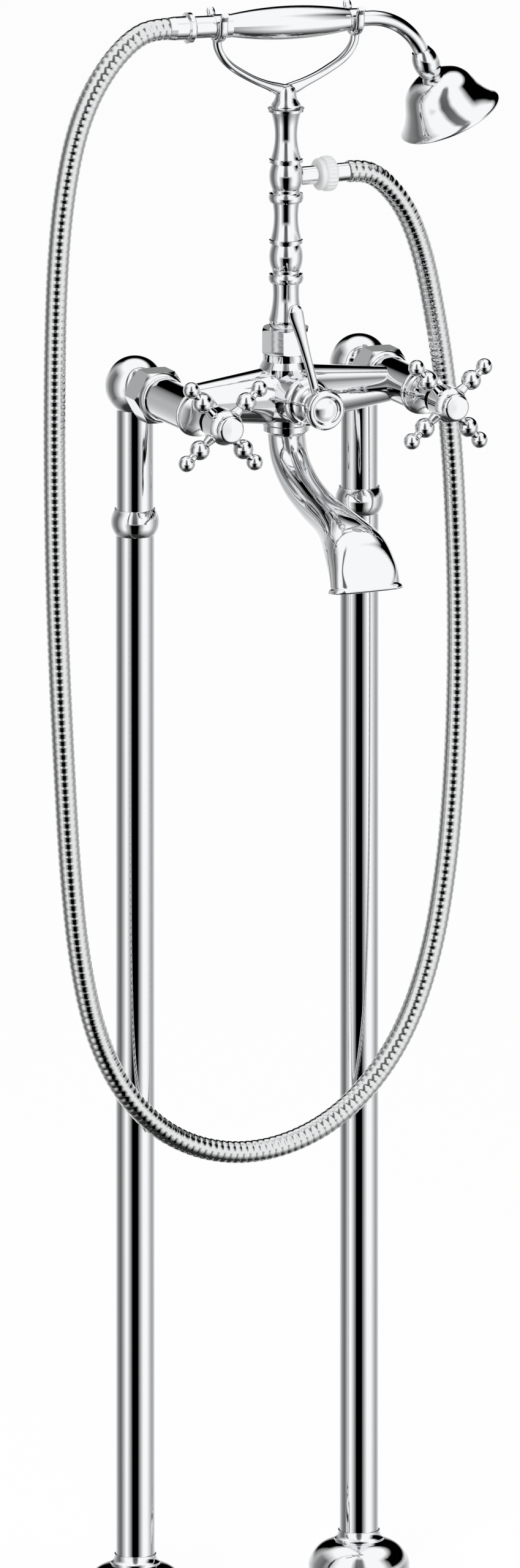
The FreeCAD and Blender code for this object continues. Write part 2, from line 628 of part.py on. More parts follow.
def paired_seals():
    """The rings and discs that both valves have alike, one node for each kind."""
    for name, start, end, bore, radius, at_y in (
            ("union_washers", WASHER_BACK, TAIL_BACK, "washer_bore", "nose_flange_radius", "0"),
            ("cartridge_seals", SEAL_BACK, DISC_BACK, "tail_bore - 1", CHAMBER_BORE, f"-{ARMS}")):
        pair = [ring(f"{name}_{side}", start, end, bore, radius,
                     (f"{sign} * leg_spacing / 2", at_y, "axis_height"), FRONT)
                for side, sign in SIDES]
        keep(name, doc.addObject("Part::Compound", name)).Links = pair
    discs = []
    for side, sign in SIDES:
        disc = ring(f"fixed_disc_{side}", DISC_BACK, MOVING_BACK, "1", "disc_radius")
        ports = [rod(f"fixed_port_{side}_{i}", f"{DISC_BACK} - 1", f"{MOVING_BACK} + 1",
                     "disc_radius * 0.3", (f"{way} * disc_radius * 0.52", "0", "0"))
                 for i, way in enumerate((-1, 1))]
        ported = cut(f"fixed_ported_{side}", disc, fused(f"fixed_ports_{side}", ports))
        discs.append(place(ported, (f"{sign} * leg_spacing / 2", f"-{ARMS}", "axis_height"), FRONT))
    keep("fixed_discs", doc.addObject("Part::Compound", "fixed_discs")).Links = discs


def box(name, length, width, height, at):
    """A block centred on its place along X and Y, and standing on it."""
    item = doc.addObject("Part::Box", name)
    for side, text in (("Length", length), ("Width", width), ("Height", height)):
        item.setExpression(side, bound(text))
    return place(item, (f"{at[0]} - ({length}) / 2", f"{at[1]} - ({width}) / 2", at[2]))


def mixer_body():
    """The cast body: two arms, two valve barrels, the hub and the barrel of the diverter."""
    reach = "leg_spacing / 2"
    arms = turned("mixer_arms", [
        (f"-{reach}", "0"), (f"-{reach}", "arm_end_radius"), ("-arm_root_half", "arm_root_radius"),
        ("arm_root_half", "arm_root_radius"), (reach, "arm_end_radius"), (reach, "0")],
        ("0", "0", "-arm_drop"), RIGHT)
    shoulder = f"(elbow_reach + 0.7 + nut_hex_length + nut_shoulder_length - {ARMS})"
    nut_ways = [rod(f"{side}_nut_way", f"-{ARMS}", shoulder, "nut_across_flats * 0.6",
                    (f"{sign} * {reach}", "0", "0"), FRONT) for side, sign in SIDES]
    clear_arms = cut("mixer_arms_clear", arms, fused("nut_ways", nut_ways))
    hub = turned("mixer_hub", [
        ("-hub_bottom", "0"), ("-hub_bottom", "hub_neck_radius"), ("3 - hub_bottom", "hub_neck_radius"),
        ("7 - hub_bottom", "hub_radius"), ("hub_top - 4", "hub_radius"), ("hub_top", "hub_neck_radius"),
        (NUT_BOTTOM, "hub_neck_radius"), (NUT_BOTTOM, "hub_thread_radius"),
        (THREAD_TOP, "hub_thread_radius"), (THREAD_TOP, "0")])
    front = turned("diverter_barrel", [
        ("0", "0"), ("0", "diverter_barrel_radius"),
        ("diverter_barrel_length - 4", "diverter_barrel_radius", "5"),
        ("diverter_barrel_length", "diverter_barrel_radius - 2.6"), ("diverter_barrel_length", "0")],
        turn=FRONT)
    solids, voids = [clear_arms, hub, front], []
    bead = "barrel_length - bead_length"
    for side, sign in SIDES:
        at = (f"{sign} * {reach}", "0", "0")
        solids.append(turned(f"{side}_barrel", [
            ("-tail_length", "0"), ("-tail_length", "tail_radius"), (shoulder, "tail_radius"),
            (shoulder, "barrel_radius"),
            (bead, "barrel_radius", crown("bead_length / 2", "bead_radius - barrel_radius")),
            ("barrel_length", "barrel_radius"), ("barrel_length", "0")], at, FRONT))
        voids.append(rod(f"{side}_chamber", SEAL_BACK, "barrel_length + 1", "chamber_radius", at, FRONT))
        voids.append(rod(f"{side}_tail_bore", "-tail_length - 1", SEAL_BACK, "tail_bore", at, FRONT))
    voids.append(rod("arm_bores", f"-{reach}", reach, "arm_bore", turn=RIGHT))
    voids.append(rod("hub_bore", "-hub_bottom", f"{THREAD_TOP} + 1", "hub_bore"))
    voids.append(rod("spout_socket", "-hub_bottom - 1", "spout_tail_length - hub_bottom",
                     "spout_tail_radius + slip"))
    voids.append(rod("diverter_chamber", "diverter_barrel_length - diverter_chamber_depth",
                     "diverter_barrel_length + 1", "diverter_chamber_radius", turn=FRONT))
    keep("mixer_body", cut("mixer", fused("mixer_solids", solids), fused("mixer_voids", voids)), RISER)


def diverter():
    """The two-way valve in the front of the hub, with its lever and the knob that holds the lever on."""
    face = "diverter_barrel_length"
    bore = "spindle_radius + running_fit"
    bonnet_front = f"({face} + diverter_bonnet_length)"
    boss_back = f"({bonnet_front} + rest_gap)"
    boss_front = f"({boss_back} + lever_boss_length)"
    knob_back = f"({boss_front} + slip)"
    knob_front = f"({knob_back} + knob_length)"
    drum_back = f"({face} - diverter_chamber_depth + 1)"
    drum_front = f"({drum_back} + diverter_disc_thickness)"
    keep("diverter_bonnet", turned("diverter_insert", [
        (f"{face} - 9", bore), (f"{face} - 9", "diverter_chamber_radius - slip"),
        (face, "diverter_chamber_radius - slip"), (face, "diverter_bonnet_radius"),
        (f"{face} + 3", "diverter_bonnet_radius", "-12"),
        (f"{bonnet_front} - 1", "lever_boss_radius + 0.8"), (bonnet_front, "lever_boss_radius"),
        (bonnet_front, bore)]), RISER, FRONT)
    drum = rod("diverter_drum", drum_back, drum_front, "diverter_disc_radius")
    port = rod("diverter_port", "0", "diverter_disc_radius + 1", "diverter_disc_thickness / 4",
               ("0", "0", f"({drum_back} + {drum_front}) / 2"), RIGHT)
    keep("diverter_disc", cut("diverter_drum_with_port", drum, port), RISER, FRONT)
    keep("diverter_spindle", rod(
        "diverter_stem", drum_front, f"{knob_back} + knob_length - knob_recess_depth - 1.4",
        "spindle_radius"), RISER, FRONT)

    boss = ring("lever_boss", boss_back, boss_front, "spindle_radius + running_fit",
                "lever_boss_radius", turn=FRONT)
    tip_half = "lever_tip_width / 2"
    blade = slab("lever_blade", "XZ_Plane", [
        ("lever_root_width / -2", "spindle_radius + 1.5"),
        (f"-{tip_half}", f"lever_length - {tip_half}", "lever_tip_width * 0.515"),
        (tip_half, f"lever_length - {tip_half}"), ("lever_root_width / 2", "spindle_radius + 1.5")],
        "lever_thickness")
    place(blade, ("0", f"-({boss_back} + {boss_front}) / 2", "0"), (0, 1, 0, "-lever_lean"))
    keep("diverter_lever", fused("lever", [boss, blade]), RISER)
    keep("diverter_knob", turned("knob", [
        (knob_back, bore), (knob_back, "knob_radius - 1.4"), (f"{knob_back} + 1.4", "knob_radius"),
        (f"{knob_front} - 1.6", "knob_radius"), (knob_front, "knob_radius - 1.6"),
        (knob_front, "knob_recess_radius + 0.8"), (f"{knob_front} - knob_recess_depth", "knob_recess_radius"),
        (f"{knob_front} - knob_recess_depth", "0"),
        (f"{knob_front} - knob_recess_depth - 1.4", "0"),
        (f"{knob_front} - knob_recess_depth - 1.4", bore)]), RISER, FRONT)


def superellipse(centre, heading, half_width, half_depth, squareness):
    """A closed curve square to a heading in the plane of the riser. Squareness 2 gives an ellipse."""
    across = FreeCAD.Vector(1, 0, 0)
    upward = FreeCAD.Vector(0, -math.sin(math.radians(heading)), math.cos(math.radians(heading)))
    points = []
    for i in range(SPOUT_POINTS):
        turn = 2 * math.pi * i / SPOUT_POINTS
        c, q = math.cos(turn), math.sin(turn)
        points.append(centre
                      + across * half_width * math.copysign(abs(c) ** (2 / squareness), c)
                      + upward * half_depth * math.copysign(abs(q) ** (2 / squareness), q))
    curve = Part.BSplineCurve()
    curve.interpolate(points, PeriodicFlag=True)
    return Part.Wire(curve.toShape())


def spout():
    """A curved casting that widens to its mouth, hollow all the way, with a rolled lip."""
    top = -size("hub_bottom + spout_collar_length")
    wall = size("spout_wall")
    lip = size("spout_lip")
    drop = size("spout_drop") + top - lip * LIP_SHAPE[-1][0]
    sections = []
    for along, down, heading, wide, deep, squareness in SPOUT_SECTIONS:
        centre = FreeCAD.Vector(0, -along * size("spout_reach"), top - down * drop)
        sections.append((centre, heading, size(wide), size(deep), squareness))
    mouth, heading, wide, deep, squareness = sections[-1]
    out = FreeCAD.Vector(0, -math.cos(math.radians(heading)), -math.sin(math.radians(heading)))
    outer = Part.makeLoft([superellipse(*section) for section in sections], True)
    rim = Part.makeLoft([
        superellipse(mouth + out * lip * ahead, heading, wide + lip * more, deep + lip * more, squareness)
        for ahead, more in LIP_SHAPE], True, True)
    tail_length = size("spout_collar_length + spout_tail_length")
    tail_bore = size("spout_tail_radius") - wall
    tail = Part.makeCylinder(size("spout_tail_radius"), tail_length, FreeCAD.Vector(0, 0, top))
    bore = Part.makeCylinder(tail_bore - 0.3, tail_length + wall + 1, FreeCAD.Vector(0, 0, top - wall))
    hollow = [(c, h, w - wall, d - wall, k) for c, h, w, d, k in sections]
    hollow[0] = (sections[0][0], 90, tail_bore, tail_bore, 2)
    beyond = mouth + out * lip * (LIP_SHAPE[-1][0] + 1)
    hollow.append((beyond, heading, wide - wall, deep - wall, squareness))
    inner = Part.makeLoft([superellipse(*section) for section in hollow], True)
    item = doc.addObject("Part::Feature", "spout_casting")
    item.Shape = outer.fuse([tail, rim]).cut([inner, bore])
    keep("spout", item, RISER)
    keep("spout_collar", turned("spout_ring", [
        ("-hub_bottom - spout_collar_length", "spout_tail_radius + slip"),
        ("-hub_bottom - spout_collar_length", "spout_collar_radius - 1.4"),
        ("1.4 - hub_bottom - spout_collar_length", "spout_collar_radius"),
        ("-hub_bottom - 1", "spout_collar_radius"), ("-hub_bottom", "spout_collar_radius - 1"),
        ("-hub_bottom", "spout_tail_radius + slip")]), RISER)


def vase(start):
    """One turned swelling of the riser between two rings, from a height up."""
    length = "vase_length"
    return [
        (start, "vase_ring_radius - 0.5", crown("vase_ring_length / 2", "0.6")),
        (f"{start} + vase_ring_length", "vase_ring_radius - 0.5"),
        (f"{start} + vase_ring_length + 0.6", "vase_groove_radius"),
        (f"{start} + vase_ring_length + 2.4", "vase_groove_radius"),
        (f"{start} + vase_ring_length + 3", "vase_groove_radius + 0.5",
         crown(f"({length} - 2 * vase_ring_length) / 2", "vase_belly_radius - vase_groove_radius")),
        (f"{start} + {length} - 3.4", "vase_groove_radius + 0.3"),
        (f"{start} + {length} - 3", "vase_groove_radius + 0.3"),
        (f"{start} + {length} - 2.4", "vase_ring_radius - 0.4"),
        (f"{start} + {length} - 0.4", "vase_ring_radius - 0.4"),
        (f"{start} + {length}", "vase_ring_radius - 1.2")]


def riser():
    """The turned column above the hub, its union nut and its washer."""
    flange = f"({THREAD_TOP} + washer_thickness)"
    nut_top = f"({NUT_BOTTOM} + riser_nut_length)"
    keep("riser_washer", ring("riser_seal", THREAD_TOP, flange, "hub_bore + 0.4", "hub_thread_radius"),
         RISER)
    keep("riser_nut", common("riser_hexagon", turned("riser_nut_blank", [
        (NUT_BOTTOM, "hub_thread_radius + slip"), (NUT_BOTTOM, "riser_nut_across_flats / 2"),
        (f"{NUT_BOTTOM} + 1.2", "riser_nut_across_flats * 0.58"),
        (f"{nut_top} - 1.2", "riser_nut_across_flats * 0.58"), (nut_top, "riser_nut_across_flats / 2"),
        (nut_top, "riser_tail_radius + slip"),
        (f"{flange} + riser_flange_length", "riser_tail_radius + slip"),
        (f"{flange} + riser_flange_length", "hub_thread_radius + slip")]),
        prism("riser_nut_bar", "riser_nut_across_flats", NUT_BOTTOM, "riser_nut_length")), RISER)
    column = turned("riser_turning", [
        (flange, "0"), (flange, "hub_thread_radius - 0.2"),
        (f"{flange} + riser_flange_length", "hub_thread_radius - 0.2"),
        (f"{flange} + riser_flange_length", "riser_tail_radius"),
        (nut_top, "riser_tail_radius", "10"), (f"{nut_top} + 5", "vase_ring_radius", "-50"),
        ("lower_vase_start - 0.4", "vase_groove_radius"), *vase("lower_vase_start"),
        ("lower_vase_start + vase_length + 1.6", "vase_ring_radius - 1.6", "-45"),
        ("upper_vase_start - 0.4", "vase_groove_radius"), *vase("upper_vase_start"),
        ("upper_vase_start + vase_length + 1.6", "vase_ring_radius - 1.8", "-40"),
        ("riser_top - 2", "vase_ring_radius - 1"), ("riser_top - 1.6", "riser_rim_radius"),
        ("riser_top", "riser_rim_radius"), ("riser_top", "0")])
    bores = [rod("riser_bore", f"{flange} - 1", "riser_bore_top", "riser_bore"),
             rod("cradle_hole", "riser_top - cradle_spigot_length - 0.5", "riser_top + 1",
                 "cradle_spigot_radius + slip"),
             rod("outlet_hole", "0", "outlet_seat", "outlet_spigot_radius + slip",
                 ("0", "0", "outlet_height"), RIGHT),
             rod("outlet_flat", "outlet_seat", "vase_ring_radius + 4", "outlet_radius + slip",
                 ("0", "0", "outlet_height"), RIGHT)]
    keep("riser_column", cut("riser", column, fused("riser_bores", bores)), RISER)


def outlet():
    """The side outlet of the riser, with the hose's nut, washer and ferrule."""
    at = ("0", f"-{ARMS}", "axis_height + outlet_height")
    loose = "outlet_radius + slip"
    seal = "(outlet_end + washer_thickness)"
    keep("hose_outlet", turned("outlet_stub", [
        ("outlet_seat - outlet_spigot_length", "outlet_bore"),
        ("outlet_seat - outlet_spigot_length", "outlet_spigot_radius"),
        ("outlet_seat", "outlet_spigot_radius"),
        ("outlet_seat", "outlet_radius"), ("outlet_end", "outlet_radius"), ("outlet_end", "outlet_bore")]),
        at, RIGHT)
    keep("outlet_washer", ring("outlet_seal", "outlet_end", seal, "outlet_bore", "ferrule_flange_radius"),
         at, RIGHT)
    collar = "(outlet_nut_start + outlet_nut_collar_length)"
    blank = turned("outlet_nut_blank", [
        ("outlet_nut_start", loose), ("outlet_nut_start", "outlet_nut_collar_radius - 0.8"),
        ("outlet_nut_start + 0.8", "outlet_nut_collar_radius"), (collar, "outlet_nut_collar_radius"),
        (collar, "outlet_nut_radius"), ("outlet_nut_end - 3.4", "outlet_nut_radius", "6"),
        ("outlet_nut_end", "ferrule_radius + 1.6"), ("outlet_nut_end", "ferrule_radius + slip"),
        (f"{seal} + ferrule_flange_length", "ferrule_radius + slip"),
        (f"{seal} + ferrule_flange_length", "ferrule_flange_radius + slip"),
        ("outlet_end - 0.5", "ferrule_flange_radius + slip"), ("outlet_end - 0.5", loose)])
    flutes = prism("outlet_nut_bar", "outlet_nut_radius * 1.96", "outlet_nut_start",
                   "outlet_nut_end - outlet_nut_start", "outlet_nut_sides")
    keep("outlet_nut", common("outlet_faceted_nut", blank, flutes), at, RIGHT)
    keep("outlet_ferrule", ferrule("outlet_ferrule_blank", seal, "ferrule_end"), at, RIGHT)


def ferrule(name, start, end):
    """The metal end of the hose: a flange that the nut pulls on, and a sleeve."""
    return turned(name, [
        (start, "ferrule_bore"), (start, "ferrule_flange_radius"),
        (f"{start} + ferrule_flange_length", "ferrule_flange_radius"),
        (f"{start} + ferrule_flange_length", "ferrule_radius"), (f"{end} - 0.5", "ferrule_radius"),
        (end, "ferrule_radius - 0.5"), (end, "ferrule_bore")])


def cradle():
    """The yoke on top of the riser, with a fork at each end for the hand shower."""
    foot = turned("cradle_foot", [
        ("riser_top - cradle_spigot_length", "0"),
        ("riser_top - cradle_spigot_length", "cradle_spigot_radius"),
        ("riser_top", "cradle_spigot_radius"), ("riser_top", "cradle_foot_radius"),
        ("riser_top + 3", "cradle_foot_radius", "-14"),
        ("riser_top + cradle_foot_length", "cradle_neck_radius"),
        ("riser_top + cradle_foot_length + 5", "cradle_neck_radius - 1"),
        ("riser_top + cradle_foot_length + 5", "0")])
    out = "(fork_offset + fork_length / 2)"
    inside = "(fork_offset - fork_length / 2)"
    seat = "(shower_height - 5)"
    crotch = "(riser_top + cradle_foot_length)"
    knee = "(riser_top + 19)"
    bow = "(shower_height - 17)"
    wing = crown(f"({out} - fork_offset * 0.6) * 0.75", "3.4")
    yoke = slab("cradle_yoke", "XZ_Plane", [
        ("-cradle_neck_radius", crotch), ("cradle_neck_radius", crotch, "-60"),
        ("fork_offset * 0.6", knee, wing), (out, bow), (out, seat), (inside, seat),
        (inside, bow, "-" + crown(inside, f"{bow} - riser_top - cradle_web_height")),
        (f"-{inside}", bow), (f"-{inside}", seat), (f"-{out}", seat),
        (f"-{out}", bow, wing), ("-fork_offset * 0.6", knee, "-60")], "cradle_thickness")
    solids, voids = [foot, yoke], []
    top = "(shower_height + fork_prong_height)"
    rim = "(tail_collar_radius + rest_gap + fork_wall)"
    half = "fork_length / 2"
    for side, sign, collar in (("left", -1, "tail_collar_radius"), ("right", 1, "neck_collar_radius")):
        along = f"{sign} * fork_offset"
        middle = f"(shower_height - {along} * sin(shower_tilt))"
        at = (f"{along} * cos(shower_tilt)", "0", middle)
        gap = f"({collar} + rest_gap)"
        solids.append(rod(f"{side}_fork", f"-{half}", half, rim, at, SHOWER_RIGHT))
        solids.append(box(f"{side}_prongs", "fork_length", f"2 * {rim}", f"{top} - {middle}", at))
        for way in (-1, 1):
            solids.append(rod(f"{side}_tip_{way + 1}", f"-{half}", half, "fork_tip_radius",
                              (at[0], f"{way} * ({rim} - fork_tip_radius + 1.6)", top), RIGHT))
        voids.append(rod(f"{side}_seat", f"-{half} - 1", f"{half} + 1", gap, at, SHOWER_RIGHT))
        voids.append(box(f"{side}_way", "fork_length + 2", f"2 * {gap}",
                         f"{top} - {middle} + 2 * fork_tip_radius", at))
    keep("cradle", cut("cradle_casting", fused("cradle_solids", solids), fused("cradle_voids", voids)),
         RISER)


def hand_shower():
    """The hand shower, which lies in the forks. All of it lifts off together."""
    at = ("0", f"-{ARMS}", "axis_height + shower_height")
    spigot = "shower_spigot_radius"
    socket = f"{spigot} + slip"
    keep("handset_grip", turned("grip", [
        ("-grip_start", socket), ("-grip_start", "grip_end_radius", crown(
            "(grip_start + grip_end) / 2", "grip_middle_radius - grip_end_radius")),
        ("grip_end", "grip_end_radius"), ("grip_end", socket), ("grip_end - shower_spigot_length", socket),
        ("grip_end - shower_spigot_length", "grip_bore"),
        ("shower_spigot_length - grip_start", "grip_bore"),
        ("shower_spigot_length - grip_start", socket)]), at, SHOWER_RIGHT)
    keep("handset_tail", turned("tail", [
        ("grip_start - shower_spigot_length + 0.5", "neck_tube_bore"),
        ("grip_start - shower_spigot_length + 0.5", spigot), ("grip_start", spigot),
        ("grip_start", "tail_collar_radius"), ("tail_collar_end", "tail_collar_radius"),
        ("tail_collar_end", "tail_collar_radius - 0.5"), ("tail_end", "tail_collar_radius - 0.5"),
        ("tail_end", "hose_nut_bore - slip"), ("tail_end + tail_thread_length", "hose_nut_bore - slip"),
        ("tail_end + tail_thread_length", "neck_tube_bore")]), at, SHOWER_LEFT)
    nut_end = "(tail_end + hose_nut_length)"
    flange = "(tail_end + tail_thread_length + slip)"
    lip = f"({flange} + ferrule_flange_length + slip)"
    keep("handset_hose_nut", turned("hose_nut", [
        ("tail_end", "hose_nut_bore"), ("tail_end", "hose_nut_ring_radius - 0.6"),
        ("tail_end + 0.8", "hose_nut_ring_radius"), ("tail_end + 3.4", "hose_nut_ring_radius"),
        ("tail_end + 4", "hose_nut_radius"), (f"{nut_end} - 4", "hose_nut_radius"),
        (nut_end, "hose_radius"), (nut_end, "handset_ferrule_radius + slip"),
        (lip, "handset_ferrule_radius + slip"), (lip, "hose_nut_bore")]), at, SHOWER_LEFT)
    keep("handset_ferrule", turned("inner_ferrule", [
        (flange, "ferrule_bore"), (flange, "hose_nut_bore - slip"),
        (f"{flange} + ferrule_flange_length", "hose_nut_bore - slip"),
        (f"{flange} + ferrule_flange_length", "handset_ferrule_radius"),
        (nut_end, "handset_ferrule_radius"), (nut_end, "ferrule_bore")]), at, SHOWER_LEFT)
    neck(at)
    rose()


def neck(at):
    """The tube that carries the rose: straight out of the grip, then one bend."""
    parts = {}
    for name, radius in (("neck_outside", "neck_tube_radius"), ("neck_inside", "neck_tube_bore")):
        bend = doc.addObject("Part::Torus", f"{name}_bend")
        bend.setExpression("Radius1", bound("neck_bend_radius"))
        bend.setExpression("Radius2", bound(radius))
        bend.setExpression("Angle3", bound("90 - rose_tilt - shower_tilt"))
        place(bend, ("neck_bend_start", "0", "-neck_bend_radius"), (1, 1, 1, 240))
        straight = rod(f"{name}_run", "grip_end - shower_spigot_length + 0.5", "neck_bend_start", radius,
                       turn=RIGHT)
        parts[name] = [bend, straight]
    spigot = rod("neck_spigot", "grip_end - shower_spigot_length + 0.5", "grip_end",
                 "shower_spigot_radius", turn=RIGHT)
    collar = turned("neck_collar", [
        ("grip_end", "0"), ("grip_end", "neck_collar_radius"),
        ("neck_collar_end - 1.6", "neck_collar_radius"),
        ("neck_collar_end", "neck_tube_radius"), ("neck_collar_end", "0")], turn=RIGHT)
    end = (NECK_REACH, "0", NECK_DROP)
    turn = (0, 1, 0, "180 - rose_tilt - shower_tilt")
    tip = rod("neck_tip", "0", "rose_thread_length", "rose_thread_radius", end, turn)
    tip_bore = rod("neck_tip_bore", "0", "rose_thread_length + 1", "neck_tube_bore", end, turn)
    keep("handset_neck", cut(
        "neck", fused("neck_solids", [*parts["neck_outside"], spigot, collar, tip]),
        fused("neck_bores", [*parts["neck_inside"], tip_bore])), at, (0, 1, 0, "shower_tilt"))


def rose():
    """The bell-shaped rose with its nut and faceplate, along an axis that leans outwards."""
    at = (f"{NECK_REACH} * cos(shower_tilt) + {NECK_DROP} * sin(shower_tilt)", f"-{ARMS}",
          f"axis_height + shower_height - {NECK_REACH} * sin(shower_tilt) + {NECK_DROP} * cos(shower_tilt)")
    thread = "rose_thread_radius + slip"
    top = "rose_nut_length"
    mouth = f"({top} + bell_height)"
    keep("rose_nut", turned("rose_union", [
        ("0.1", thread), ("0.1", "rose_nut_radius - 2.6"),
        ("1.3", "rose_nut_radius - 1.9", crown("rose_nut_length / 2 - 1.3", "1.9")),
        ("rose_nut_length - 1.3", "rose_nut_radius - 1.9"), (top, "rose_nut_radius - 2.6"),
        (top, thread)]), at, ROSE_TURN)
    seat = f"({mouth} - faceplate_inset)"
    wall = "bell_wall"
    keep("rose_bell", turned("bell", [
        (f"{top} - rose_thread_length", "neck_tube_bore"),
        (f"{top} - rose_thread_length", "rose_thread_radius"),
        (top, "rose_thread_radius"), (top, "neck_tube_radius + 0.3", "bell_shoulder_radius * 0.82"),
        (f"{top} + bell_height * 0.36", "bell_shoulder_radius", "-34"),
        (f"{mouth} - 3", "bell_radius - 2.4"), (f"{mouth} - 1", "bell_radius"), (mouth, "bell_radius"),
        (mouth, "faceplate_radius + slip"), (f"{seat} - faceplate_thickness", "faceplate_radius + slip"),
        (f"{seat} - faceplate_thickness", "faceplate_radius - 2"),
        (f"{top} + bell_height * 0.36 + {wall}", f"bell_shoulder_radius - {wall}"),
        (f"{top} + {wall}", "neck_tube_bore")]), at, ROSE_TURN)
    plate = rod("rose_disc", f"{seat} - faceplate_thickness", seat, "faceplate_radius")
    drills = []
    for ring_number, count in enumerate(SPRAY_RINGS, start=1):
        for i in range(count):
            angle = 360 / count * i
            radius = f"faceplate_radius * {ring_number} / {len(SPRAY_RINGS) + 1}"
            drills.append(rod(f"spray_{ring_number}_{i}", f"{seat} - faceplate_thickness - 1", f"{seat} + 1",
                              "spray_hole_radius",
                              (f"{radius} * cos({angle})", f"{radius} * sin({angle})", "0")))
    keep("rose_faceplate", cut("rose_drilled_disc", plate, fused("spray_holes", drills)), at, ROSE_TURN)


def hose_points():
    """The route's points, stretched above the valve axis so that its ends meet their fittings."""
    tail = "(tail_end + hose_nut_length + running_fit)"
    fittings = {-1: (f"-{tail} * cos(shower_tilt)", f"shower_height + {tail} * sin(shower_tilt)"),
                1: ("ferrule_end", "outlet_height")}
    points = []
    for right, up in HOSE_ROUTE:
        side = -1 if right < 0 else 1
        old_right, old_up = HOSE_ROUTE[0] if side < 0 else HOSE_ROUTE[-1]
        new_right, new_up = (size(text) for text in fittings[side])
        share = max(up, 0) / old_up
        points.append(FreeCAD.Vector(right + (new_right - old_right) * share, -size(ARMS),
                                     size("axis_height") + up + (new_up - old_up) * share))
    return points


def hose_line():
    """The hose's centreline: straight runs joined by tangent arcs. Returns its edges and the arcs' radii."""
    points = hose_points()
    edges, radii = [], []
    here = points[0]
    for before, corner, after in zip(points, points[1:], points[2:]):
        back, on = before - corner, after - corner
        shorter = min(back.Length, on.Length)
        back.normalize()
        on.normalize()
        half_turn = (math.pi - back.getAngle(on)) / 2
        tangent = HOSE_ROUNDING * shorter
        radii.append(tangent / math.tan(half_turn))
        start, end = corner + back * tangent, corner + on * tangent
        bisector = (back + on).normalize()
        centre = corner + bisector * math.hypot(tangent, radii[-1])
        edges.append(Part.LineSegment(here, start).toShape())
        edges.append(Part.Arc(start, centre - bisector * radii[-1], end).toShape())
        here = end
    edges.append(Part.LineSegment(here, points[-1]).toShape())
    return edges, radii


def hose():
    """The ribbed shower hose: rings of a steady pitch along the line, round a smooth bore."""
    edges, radii = hose_line()
    length = sum(edge.Length for edge in edges)
    straight = 2 * size("hose_radius")
    ribs = int((length - 2 * straight) / size("hose_rib_pitch"))
    pitch = (length - 2 * straight) / ribs
    marks = [(0, "hose_radius"), (straight, "hose_radius")]
    for i in range(ribs):
        start = straight + i * pitch
        marks += [(start + pitch * share, radius) for share, radius in RIB_SHAPE]
    marks += [(length - straight, "hose_radius"), (length, "hose_radius")]
    across = FreeCAD.Vector(0, 1, 0)

    def circle(mark, radius):
        walked = 0
        for edge in edges:
            if mark <= walked + edge.Length + 1e-9 or edge is edges[-1]:
                break
            walked += edge.Length
        parameter = edge.getParameterByLength(min(mark - walked, edge.Length))
        way = edge.tangentAt(parameter)
        frame = Part.Circle()
        frame.Axis = way
        frame.Center = edge.valueAt(parameter)
        frame.XAxis = across
        frame.Radius = radius
        return Part.Wire(frame.toShape())

    outside = Part.makeLoft([circle(mark, size(radius)) for mark, radius in marks], True, True)
    bore_marks = [mark for mark, radius in marks[::2]] + [length]
    bore = size("hose_bore")
    inside = Part.makeLoft([circle(mark, bore) for mark in bore_marks], True, True)
    solid = outside.cut(inside)
    item = doc.addObject("Part::Feature", "hose_tube")
    item.Shape = solid
    keep("shower_hose", item)
    mean = math.pi * ((size("hose_radius") + size("hose_root_radius")) ** 2 / 4 - bore ** 2)
    print(f"hose: {length:.0f} mm, {ribs} ribs of {pitch:.2f} mm, radii "
          + " ".join(f"{radius:.0f}" for radius in radii)
          + f", volume {solid.Volume:.0f} against about {mean * length:.0f} mm3")


for side, sign in SIDES:
    standpipe(side, sign)
    valve(side, sign)
paired_seals()
mixer_body()
diverter()
spout()
riser()
outlet()
cradle()
hand_shower()
hose()

doc.recompute()
failed = [item.Name for item in doc.Objects if "Invalid" in item.State or "Error" in item.State]
for name, item in pieces.items():
    if item.Shape.isNull() or not item.Shape.isValid() or not item.Shape.Solids:
        failed.append(name)
if failed:
    raise RuntimeError(f"these objects failed: {failed}")
os.makedirs("parts", exist_ok=True)
for name, item in pieces.items():
    item.Shape.exportStep(f"parts/{name}.step")
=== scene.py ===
"""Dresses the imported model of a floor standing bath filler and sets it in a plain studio.

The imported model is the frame: metres, +Z up, -Y to the front, the origin on the floor midway between the two
standpipes. Each operator makes one group of pieces or finishes, and main() runs them in order.
"""
import json
import math

import bmesh
import bpy
from bpy.props import FloatProperty, FloatVectorProperty, IntProperty, PointerProperty
from mathutils import Matrix, Vector


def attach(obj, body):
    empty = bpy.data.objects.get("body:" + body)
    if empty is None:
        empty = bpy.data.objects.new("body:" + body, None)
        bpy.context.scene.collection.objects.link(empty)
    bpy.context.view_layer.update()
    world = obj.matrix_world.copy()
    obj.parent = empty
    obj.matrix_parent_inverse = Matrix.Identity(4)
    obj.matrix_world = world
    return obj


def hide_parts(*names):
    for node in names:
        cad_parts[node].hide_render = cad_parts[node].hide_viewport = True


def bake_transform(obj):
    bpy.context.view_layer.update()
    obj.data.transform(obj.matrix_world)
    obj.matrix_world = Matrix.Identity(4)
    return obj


bl_info = {
    "name": "Bath Filler Dresser",
    "version": (1, 0, 0),
    "blender": (4, 5, 0),
    "location": "View3D > Sidebar > Bath Filler",
    "description": "Finishes a floor standing bath filler and its studio",
    "category": "Object",
}

